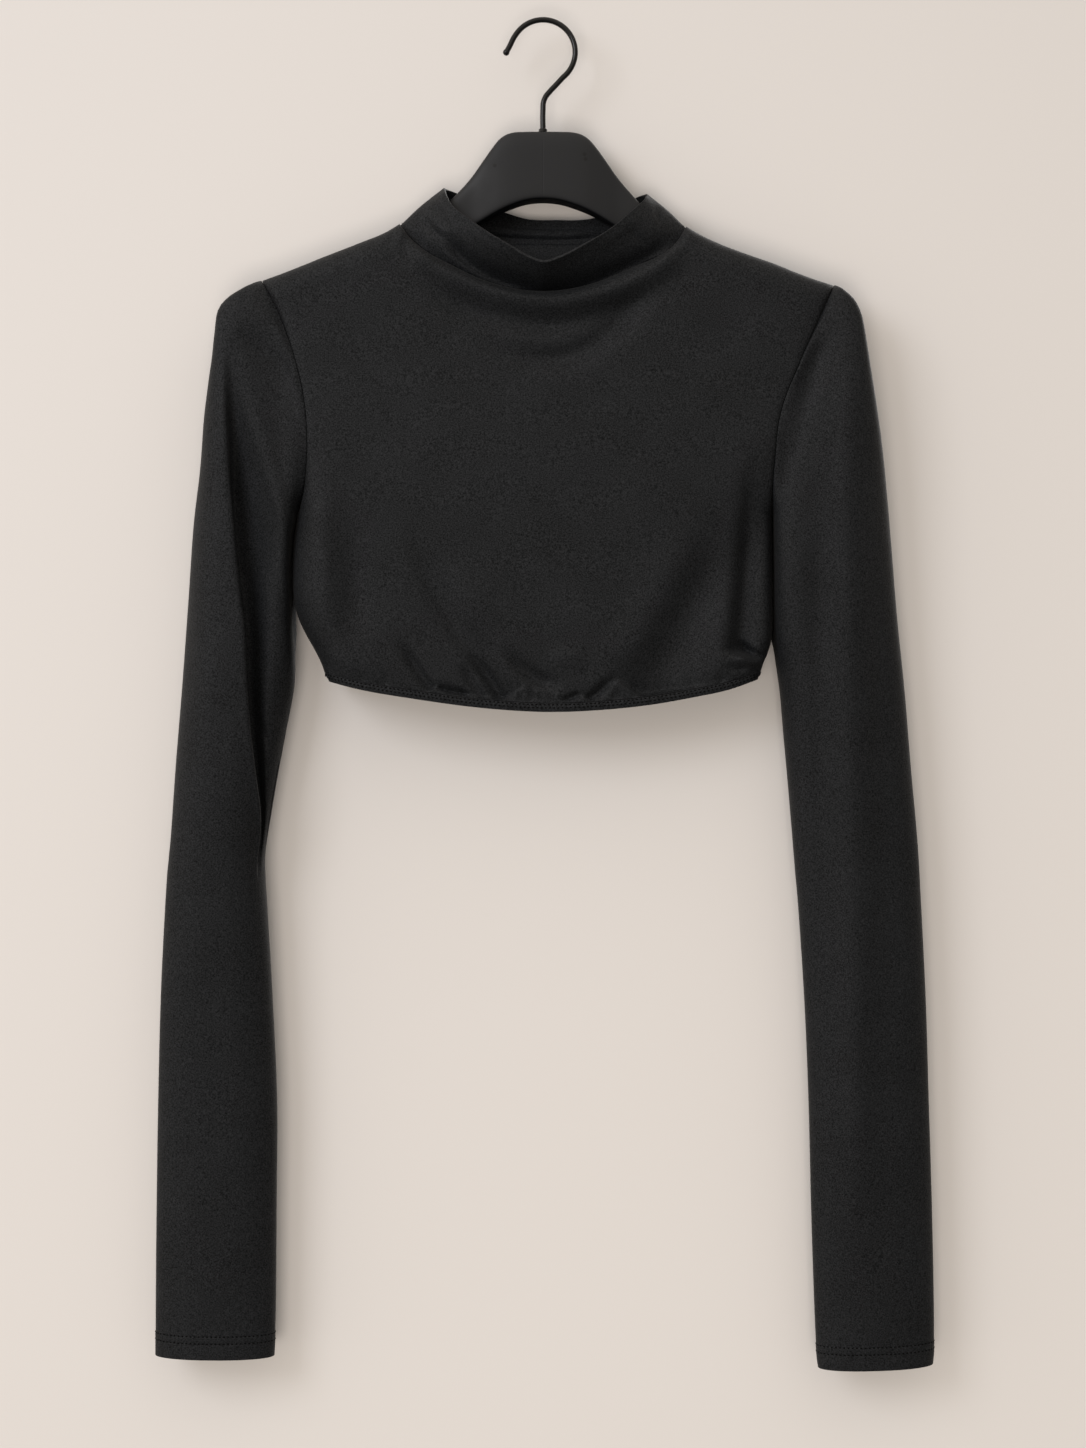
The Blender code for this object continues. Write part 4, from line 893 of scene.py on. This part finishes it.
# %% [markdown]
# ## Cuffs
# The end of each sleeve is turned up to the inside by 15 mm and sewn down with a twin row.  The
# doubled cloth stands out a little, and each row of stitches pulls it in to a shallow groove.

# %% Cuffs
CUFF_DEPTH = 15.0
CUFF_STEP, CUFF_EASE = 0.22, 2.8
CUFF_SHARE = 0.033
CUFF_ROWS = (14.6, 10.2)
ROW_GROOVE, GROOVE_WIDTH = 0.16, 0.7


def normals_of(grid):
    """Unit normals of a closed grid, away from its middle: cross of its two headings."""
    around = np.roll(grid, -1, axis=1) - np.roll(grid, 1, axis=1)
    down = np.gradient(grid, axis=0)
    normal = unit(np.cross(around, down))
    outward = np.sign((normal * (grid - grid.mean(axis=1, keepdims=True))).sum(axis=(1, 2)))
    return normal * outward[:, None, None]


def above_edge(grid):
    """Distance of each row from the last one, as a mean along all columns."""
    steps = np.linalg.norm(np.diff(grid, axis=0), axis=2).mean(axis=1)
    return np.concatenate([np.cumsum(steps[::-1])[::-1], [0.0]])


def with_cuff(grid):
    """Sleeve thicker below the stitching, with a groove where each row pulls the cloth in."""
    above = above_edge(grid)
    thicker = CUFF_STEP * ease((CUFF_DEPTH - above) / CUFF_EASE + 0.5)
    for height in CUFF_ROWS:
        thicker -= ROW_GROOVE * bell(above - height, GROOVE_WIDTH)
    return grid + normals_of(grid) * thicker[:, None, None]


SLEEVE_ROWS = np.concatenate([np.linspace(0.0, 1.0 - CUFF_SHARE, 170, endpoint=False),
                              np.linspace(1.0 - CUFF_SHARE, 1.0, 44)])
sleeve_right_grid = with_cuff(sleeve(False, 16, SLEEVE_ROWS))
sleeve_left_grid = with_cuff(sleeve(True, 16, SLEEVE_ROWS))
sleeve_right_piece = cloth_piece("Sleeve_Right", sleeve_right_grid, ["sleeve_right"], closed=True,
                                 flip=True)
sleeve_left_piece = cloth_piece("Sleeve_Left", sleeve_left_grid, ["sleeve_left"], closed=True)

# %% [markdown]
# ## Hem band
# A narrow band closes the lower edge and holds the gathers.  Its ring is a flattened oval that
# follows the panels, and its face swells a little between the seam and the edge.

# %% Hem band
BAND_TAPER = 0.016
BAND_SWELL = 0.35
BAND_ROUNDING = 0.14


def hem_band(rows):
    """Front and back half rings from the panels' edge down to the band's own edge."""
    down = np.linspace(1.0, 0.0, rows)[:, None]
    swell = BAND_SWELL * np.sin(np.pi * down)
    halves = []
    for hem, depth, sign in ((HEM_FRONT, BAND_DEPTH_FRONT, -1.0), (HEM_BACK, BAND_DEPTH_BACK, 1.0)):
        edge = hem_edge(hem, ACROSS)
        y = band_depth(edge[:, 0], depth)[None] + swell * np.sqrt(band_depth(edge[:, 0], 1.0))
        x = edge[:, 0] * (1.0 - BAND_TAPER * (1.0 - down))
        halves.append(np.stack([x, sign * y, edge[:, 1] + BAND_HEIGHT * down], axis=-1))
    front, back = halves
    front[:, [0, -1], 1] = 0.0
    return np.concatenate([front, back[:, -2:0:-1]], axis=1)


band_grid = hem_band(14)
band_piece = cloth_piece("Hem_Band", band_grid, ["hem_band"], closed=True, flip=True,
                         rounding=BAND_ROUNDING)

# %% [markdown]
# ## Stitching
# A coverseam machine sews the cuffs and both edges of the band with two needles, so its rows
# run side by side.  Each stitch is a short loop of thread, a capsule that sinks a little into
# the cloth.  One capsule is worked out and placed along the row as often as the length allows.

# %% Stitches
STITCH_PITCH, STITCH_LENGTH, THREAD_RADIUS = 2.6, 1.3, 0.46
STITCH_LIFT = 0.04
STITCH_LOOK = 0.4
FIBRE_SIZE = 0.6 * MM
CAPSULE_SIDES = 6
CAPSULE = ((-0.5, 0.0), (-0.42, 0.72), (0.0, 1.0), (0.42, 0.72), (0.5, 0.0))  # place, width
BAND_ROWS = (4.7, 2.7)

# The thread is black and drawn darker than the cloth, so the stitch rows also carry painted shade of their
# needle holes.
thread, tree, shader = new_material(
    "spun_polyester_thread_black", Roughness=0.85, IOR=1.5, Specular_IOR_Level=0.08)
fibre = noise(tree, node(tree, "ShaderNodeTexCoord").outputs["Object"], FIBRE_SIZE, 1.0)
fill(tree, shader, Base_Color=mixed(tree, fibre, "#030303", "#090909"))


def row_at(grid, height):
    """Ring of the grid at a height above its last row, with the normals there."""
    above = above_edge(grid)[::-1]
    at = np.interp(height, above, np.arange(len(above)))
    low, part = int(at), at - int(at)
    flipped, normals = grid[::-1], normals_of(grid)[::-1]
    ring = flipped[low] + (flipped[low + 1] - flipped[low]) * part
    return ring, normals[low]


def circles(first, second, sides):
    """Circle of radius 1 at each place: cos(turn) * first + sin(turn) * second."""
    turn = (np.arange(sides) * 2.0 * np.pi / sides)[:, None, None]
    return np.cos(turn) * first + np.sin(turn) * second


def stitches(name, rows):
    """Capsules along closed rings: centre + heading * place + circle * width."""
    laid = []
    for ring, normals in rows:
        closed, facing = (np.concatenate([part, part[:1]]) for part in (ring, normals))
        walked = lengths_along(closed)
        count = int(walked[-1] / STITCH_PITCH)
        at = (np.arange(count) + 0.5) * walked[-1] / count
        line, ahead, up = (np.stack([np.interp(place, walked, part[:, axis]) for axis in range(3)], axis=1)
                           for place, part in ((at, closed), (at + STITCH_LOOK, closed), (at, facing)))
        laid.append((line + up * STITCH_LIFT, ahead - line, up))
    centre, heading, up = (np.concatenate(part) for part in zip(*laid))
    heading = unit(heading)
    circle = circles(up, unit(np.cross(heading, up)), CAPSULE_SIDES)
    place, width = np.array(CAPSULE).T[..., None, None, None]
    points = centre + heading * STITCH_LENGTH * place + circle * THREAD_RADIUS * width
    index = np.arange(points[..., 0].size).reshape(points.shape[:3])
    piece = new_object(name, points, np.moveaxis(face_corners(closed_up(index)), 2, -1).reshape(-1, 4))
    piece.data.materials.append(thread)
    close_poles(piece)
    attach(piece, "root")
    print(name, "stitches:", len(centre))
    return piece


cuff_stitches_right, cuff_stitches_left, band_stitches = (
    stitches(name, [row_at(grid, height) for height in heights]) for name, grid, heights in (
        ("Cuff_Stitches_Right", sleeve_right_grid, CUFF_ROWS),
        ("Cuff_Stitches_Left", sleeve_left_grid, CUFF_ROWS),
        ("Hem_Stitches", band_grid, BAND_ROWS)))

# %% [markdown]
# ## Cloth pieces
# Each piece is one sheet of cloth, cut flat.  A fitted sleeve is cut as one sheet that a seam
# closes round the arm; the collar and the band are each one layer folded double.

# %% [markdown]
# ## Hanger
# The hanger is moulded in one piece: a flat middle with a domed top, and arms that widen into
# rounded shoulders.  Each upright section is a superellipse, squarer in the middle and rounder
# in the arms, and the sections are joined smoothly along x.

# %% Hanger body
HANGER_SECTIONS = (  # x, top z, bottom z, half thickness, squareness of the top
    (0.0, -69.8, -112.6, 8.6, 5.0), (12.0, -69.9, -113.9, 8.6, 5.0), (19.5, -70.3, -116.2, 8.5, 5.0),
    (25.0, -71.9, -118.3, 8.3, 4.8), (29.3, -74.8, -120.2, 8.0, 4.6), (33.5, -79.6, -122.3, 7.5, 4.4),
    (40.0, -88.4, -126.0, 6.6, 4.2), (46.2, -97.2, -129.8, 5.7, 4.0), (56.0, -108.8, -136.0, 5.2, 3.6),
    (66.0, -119.2, -142.4, 5.1, 3.2), (78.0, -129.6, -149.6, 5.4, 2.8), (86.0, -134.2, -154.0, 5.8, 2.6),
    (96.0, -138.0, -159.4, 7.0, 2.5), (112.0, -143.5, -168.0, 8.6, 2.4), (136.0, -152.3, -181.4, 9.6, 2.3),
    (160.0, -161.4, -195.0, 10.2, 2.2), (176.0, -167.4, -203.0, 10.2, 2.2),
    (186.0, -173.8, -207.0, 9.2, 2.2), (192.0, -180.8, -206.4, 7.6, 2.2), (195.4, -188.0, -202.6, 4.8, 2.2),
)
FLANK_SHIFT, FLANK_X, FLANK_WIDTH = 2.0, -42.0, 24.0
ARCH_SQUARENESS, ARCH_WIDTH = 14.0, 70.0
HANGER_SIDES, CORNER_CROWDING = 96, 0.35
PARTING_DEPTH, PARTING_EDGES = 0.09, (0.3, 0.55)
TIP_LENGTH, TIP_ROWS = 1.6, 7


def hanger(columns_a_side):
    """Superellipse sections: y = h cos^(2/n), z = middle + half height sin^(2/n)."""
    table = np.array(HANGER_SECTIONS)
    table = np.concatenate([table[:0:-1] * (-1.0, 1.0, 1.0, 1.0, 1.0), table])
    x = np.linspace(table[0, 0], table[-1, 0], 2 * columns_a_side + 1)
    x = np.sort(np.concatenate([x, PARTING_EDGES, np.negative(PARTING_EDGES)]))
    top, bottom, thickness, squareness = smooth_between(table[:, 0], table[:, 1:], x).T[..., None]
    thickness[np.abs(x) < PARTING_EDGES[0]] -= PARTING_DEPTH
    angle = np.arange(HANGER_SIDES) * 2 * np.pi / HANGER_SIDES
    angle = angle - CORNER_CROWDING * np.sin(4 * angle) / 4
    arch = ARCH_SQUARENESS * bell(x, ARCH_WIDTH)[:, None]
    power = 2.0 / np.where(np.sin(angle) < 0.0, np.maximum(squareness, arch), squareness)
    y = thickness * powered(np.cos(angle), power)
    z = 0.5 * (top + bottom) + 0.5 * (top - bottom) * powered(np.sin(angle), power)
    x = x + FLANK_SHIFT * bell(x - FLANK_X, FLANK_WIDTH)
    grid = np.stack([np.broadcast_to(x[:, None], y.shape), y, z], axis=-1)
    reach = np.linspace(0.0, 1.0, TIP_ROWS)[1:, None]
    tips = []
    for end, sign in ((0, -1.0), (-1, 1.0)):
        centre = grid[end].mean(axis=0)
        tip = centre + (grid[end] - centre) * np.sqrt(1.0 - reach[..., None] ** 2)
        tip[..., 0] = grid[end][0, 0] + sign * TIP_LENGTH * reach
        tips.append(tip)
    return np.concatenate([tips[0][::-1], grid, tips[1]])


# %% [markdown]
# The hanger is moulded of matt polypropylene, which hands smear to an uneven polish.  Its
# reflection is weakened on the faces that look down, which paints shade on its underside, and
# three small nicks in the head, worn by the rail, are near-black spots: painted shade of their dents.

# %% Hanger material and piece
NICKS = ((-30.2, -92.0), (26.6, -88.0), (26.0, -85.0))
NICK_SIZE, NICK_BLUR = 0.9 * MM, 1.6
GRAIN_SIZE, SMEAR_SIZE = 0.9 * MM, 22.0 * MM
plastic, tree, shader = new_material("moulded_polypropylene_matt_black", IOR=1.49)
place = node(tree, "ShaderNodeTexCoord").outputs["Object"]
grain, smear = noise(tree, place, GRAIN_SIZE, 2.0), noise(tree, place, SMEAR_SIZE, 2.0)
smear_and_nick_shade = mixed(tree, smear, "#141517", "#1A1B1D")
flattened = node(tree, "ShaderNodeVectorMath", {"operation": "MULTIPLY"}, _0=place,
                 _1=(1.0, 0.0, 1.0)).outputs[0]
# Near-black spots at the nicks: painted shade of their small dents, not a colour of the plastic.
for nick_x, nick_z in NICKS:
    away = node(tree, "ShaderNodeVectorMath", {"operation": "DISTANCE"}, _0=flattened,
                _1=(nick_x * MM, 0.0, nick_z * MM)).outputs["Value"]
    outside_nick_shade = rescaled(tree, away, NICK_SIZE, NICK_BLUR * NICK_SIZE, 0.1, 1.0)
    smear_and_nick_shade = mixed(tree, outside_nick_shade, "#020202", smear_and_nick_shade)
bump = node(tree, "ShaderNodeBump", Strength=0.16, Distance=0.08 * MM, Height=grain).outputs[0]
normal = node(tree, "ShaderNodeNewGeometry").outputs["Normal"]
facing_up = node(tree, "ShaderNodeSeparateXYZ", _0=normal).outputs["Z"]
# Reflection weaker on faces turned down: painted shade on the hanger's underside.
fill(tree, shader, Specular_IOR_Level=rescaled(tree, facing_up, -0.9, -0.4, 0.02, 0.30),
     Roughness=rescaled(tree, smear, 0.3, 0.7, 0.46, 0.58), Base_Color=smear_and_nick_shade, Normal=bump)

hanger_piece = grid_mesh("Hanger_Body", hanger(200), closed=True)
close_poles(hanger_piece)
stand_in(hanger_piece, plastic, ["hanger_body"])

# %% [markdown]
# ## Hook
# The hook is one length of spring wire, bent round a former and dipped in gloss lacquer, with
# a drop of lacquer on its tip.  The route is a smooth line and a circle is carried along it.

# %% Hook
WIRE_DIAMETER = 3.5
HOOK_RING_RADIUS, HOOK_RING_CENTRE_Z = 20.3, -18.65
HOOK_START_ANGLE, HOOK_END_ANGLE = 146.0, -40.0
HOOK_TIP = ((-24.2, -20.7), (-23.1, -18.8), (-20.7, -14.4), (-18.8, -10.4))
HOOK_SHANK = ((11.9, -35.4), (8.4, -39.2), (4.6, -43.2), (1.7, -46.8), (0.3, -50.4), (0.0, -55.0))
HOOK_END_Z = -69.2
TIP_BALL_RADIUS = 2.1
HOOK_ARC_POINTS = 13
HOOK_TIP_SHARE, HOOK_TIP_RINGS = 0.05, 22


def hook(rings, sides):
    """Circle of the wire's radius, carried along the route in the plane y = 0."""
    angles = np.radians(np.linspace(HOOK_START_ANGLE, HOOK_END_ANGLE, HOOK_ARC_POINTS))
    ring = HOOK_RING_RADIUS * np.stack([np.cos(angles), np.sin(angles)], axis=1) + (0.0, HOOK_RING_CENTRE_Z)
    route = np.concatenate([HOOK_TIP, ring, HOOK_SHANK, [(0.0, HOOK_END_Z)]])
    walked = np.concatenate([np.linspace(0.0, HOOK_TIP_SHARE, HOOK_TIP_RINGS, endpoint=False),
                             np.linspace(HOOK_TIP_SHARE, 1.0, rings)])
    places = along(route, walked)
    heading = unit(np.gradient(places, axis=0))
    length = walked * lengths_along(route)[-1]
    ball = np.sqrt(np.clip(TIP_BALL_RADIUS ** 2 - (length - TIP_BALL_RADIUS) ** 2, 0.0, None))
    wire = 0.5 * WIRE_DIAMETER * ease(length / TIP_BALL_RADIUS)
    radius = np.where(length < TIP_BALL_RADIUS, ball, np.maximum(ball, wire))
    level = np.zeros(len(places))
    side = np.stack([heading[:, 1], level, -heading[:, 0]], axis=1)
    centre = np.stack([places[:, 0], level, places[:, 1]], axis=1)
    grid = (centre + radius[:, None] * circles(side, np.array([0.0, 1.0, 0.0]), sides)).swapaxes(0, 1)
    return np.concatenate([grid, np.broadcast_to(centre[-1], (1, sides, 3))])


RUN_SIZE = 5.0 * MM
lacquer, tree, shader = new_material(
    "lacquered_spring_wire_black", Roughness=0.14, IOR=1.35, Specular_IOR_Level=0.4,
    Coat_Weight=0.15, Coat_Roughness=0.06)
runs = noise(tree, node(tree, "ShaderNodeTexCoord").outputs["Object"], RUN_SIZE, 1.0)
fill(tree, shader, Base_Color=mixed(tree, runs, "#050505", "#0A0A0A"),
     Normal=node(tree, "ShaderNodeBump", Strength=0.2, Distance=0.05 * MM, Height=runs).outputs[0])

hook_piece = grid_mesh("Hanger_Hook", hook(220, 28), closed=True)
close_poles(hook_piece)
stand_in(hook_piece, lacquer, ["hanger_hook"])
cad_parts["hook_ferrule"].material_slots[0].material = lacquer

# %% [markdown]
# ## Studio
# The top hangs close to a plain pale wall that runs into the floor in one sweep, which is seen
# from its front only, so the back of the garment can be looked at too.  A large soft key light
# stands up and to the left.  A wide warm one falls on the wall alone, as the rest of a pale room
# would light it without greying the cloth, and a third one is there for the back.

# %% Studio
WALL_Y = 27.0
FLOOR_Z = -1750.0
SWEEP_RADIUS = 350.0
SWEEP_HALF_WIDTH = 3200.0
WALL_TOP_Z, FLOOR_END_Y = 1500.0, -5000.0
SWEEP_STEPS, SWEEP_COLUMNS = 12, 5


def sweep_part(name, profile):
    """Profile (y, z) in mm drawn out along x."""
    x = np.linspace(-SWEEP_HALF_WIDTH, SWEEP_HALF_WIDTH, SWEEP_COLUMNS)
    y, z = np.array(profile).T[..., None]
    part = grid_mesh(name, np.stack(np.broadcast_arrays(x, y, z), axis=-1), flip=True)
    part.data.materials.append(wall_paint)
    part.visible_shadow = False
    return part


wall_paint, tree, shader = new_material(
    "matt_wall_paint_warm_white", Base_Color=colour("#C8C6C4"), Roughness=0.95, Specular_IOR_Level=0.1)
from_behind = node(tree, "ShaderNodeNewGeometry").outputs["Backfacing"]
one_sided = node(tree, "ShaderNodeMixShader", _0=from_behind, _1=shader.outputs[0],
                 _2=node(tree, "ShaderNodeBsdfTransparent").outputs[0])
fill(tree, tree.nodes["Material Output"], _0=one_sided.outputs[0])

quarter = np.linspace(0.0, np.pi / 2, SWEEP_STEPS + 1)
cove = np.stack([WALL_Y - SWEEP_RADIUS * (1 - np.cos(quarter)),
                 FLOOR_Z + SWEEP_RADIUS * (1 - np.sin(quarter))], axis=1)
wall = sweep_part("Studio_Wall", [(WALL_Y, WALL_TOP_Z), cove[0]])
floor = sweep_part("Studio_Floor", [*cove, (FLOOR_END_Y, FLOOR_Z)])
floor.visible_diffuse = floor.visible_glossy = False

GARMENT_MIDDLE = (0.0, 0.0, -0.4)


def soft_light(name, place, size, power, tone, only=()):
    """Square area light, sizes in metres, turned to the garment; only names what it lights."""
    data = bpy.data.lights.new(name, "AREA")
    data.shape, data.size, data.energy, data.color = "SQUARE", size, power, colour(tone)[:3]
    light = bpy.data.objects.new(name, data)
    light.location = place
    light.rotation_mode = "QUATERNION"
    light.rotation_quaternion = (Vector(GARMENT_MIDDLE) - Vector(place)).to_track_quat("-Z", "Y")
    light.visible_camera = False
    bpy.context.scene.collection.objects.link(light)
    if only:
        light.light_linking.receiver_collection = bpy.data.collections.new(name + "_Lights")
        for part in only:
            light.light_linking.receiver_collection.objects.link(part)
    print(name, "size in m:", size, "power in W:", power)


soft_light("Key", (-1.35, -1.75, 0.45), 1.0, 18.5, "#F6F8FF")
soft_light("Wall_Fill", (-0.2, -3.2, -1.4), 1.3, 50.0, "#FFF3E8", [wall])
soft_light("Back_Fill", (1.2, 2.2, 0.9), 1.6, 40.0, "#FFFFFF")

WINDOW_SIDE = (-0.50, -0.15, 0.85)
world = bpy.data.worlds.new("Pale_Room")
bpy.context.scene.world = world
world.use_nodes = True
tree = world.node_tree
direction = node(tree, "ShaderNodeTexCoord").outputs["Generated"]
to_window = node(tree, "ShaderNodeVectorMath", {"operation": "DOT_PRODUCT"}, _0=direction,
                 _1=WINDOW_SIDE).outputs["Value"]
fill(tree, tree.nodes["Background"], _0=colour("#FFF6EC"),
     _1=rescaled(tree, to_window, -0.45, 0.8, 0.26, 1.26, interpolation_type="SMOOTHSTEP"))
bpy.context.scene.view_settings.view_transform = "Standard"
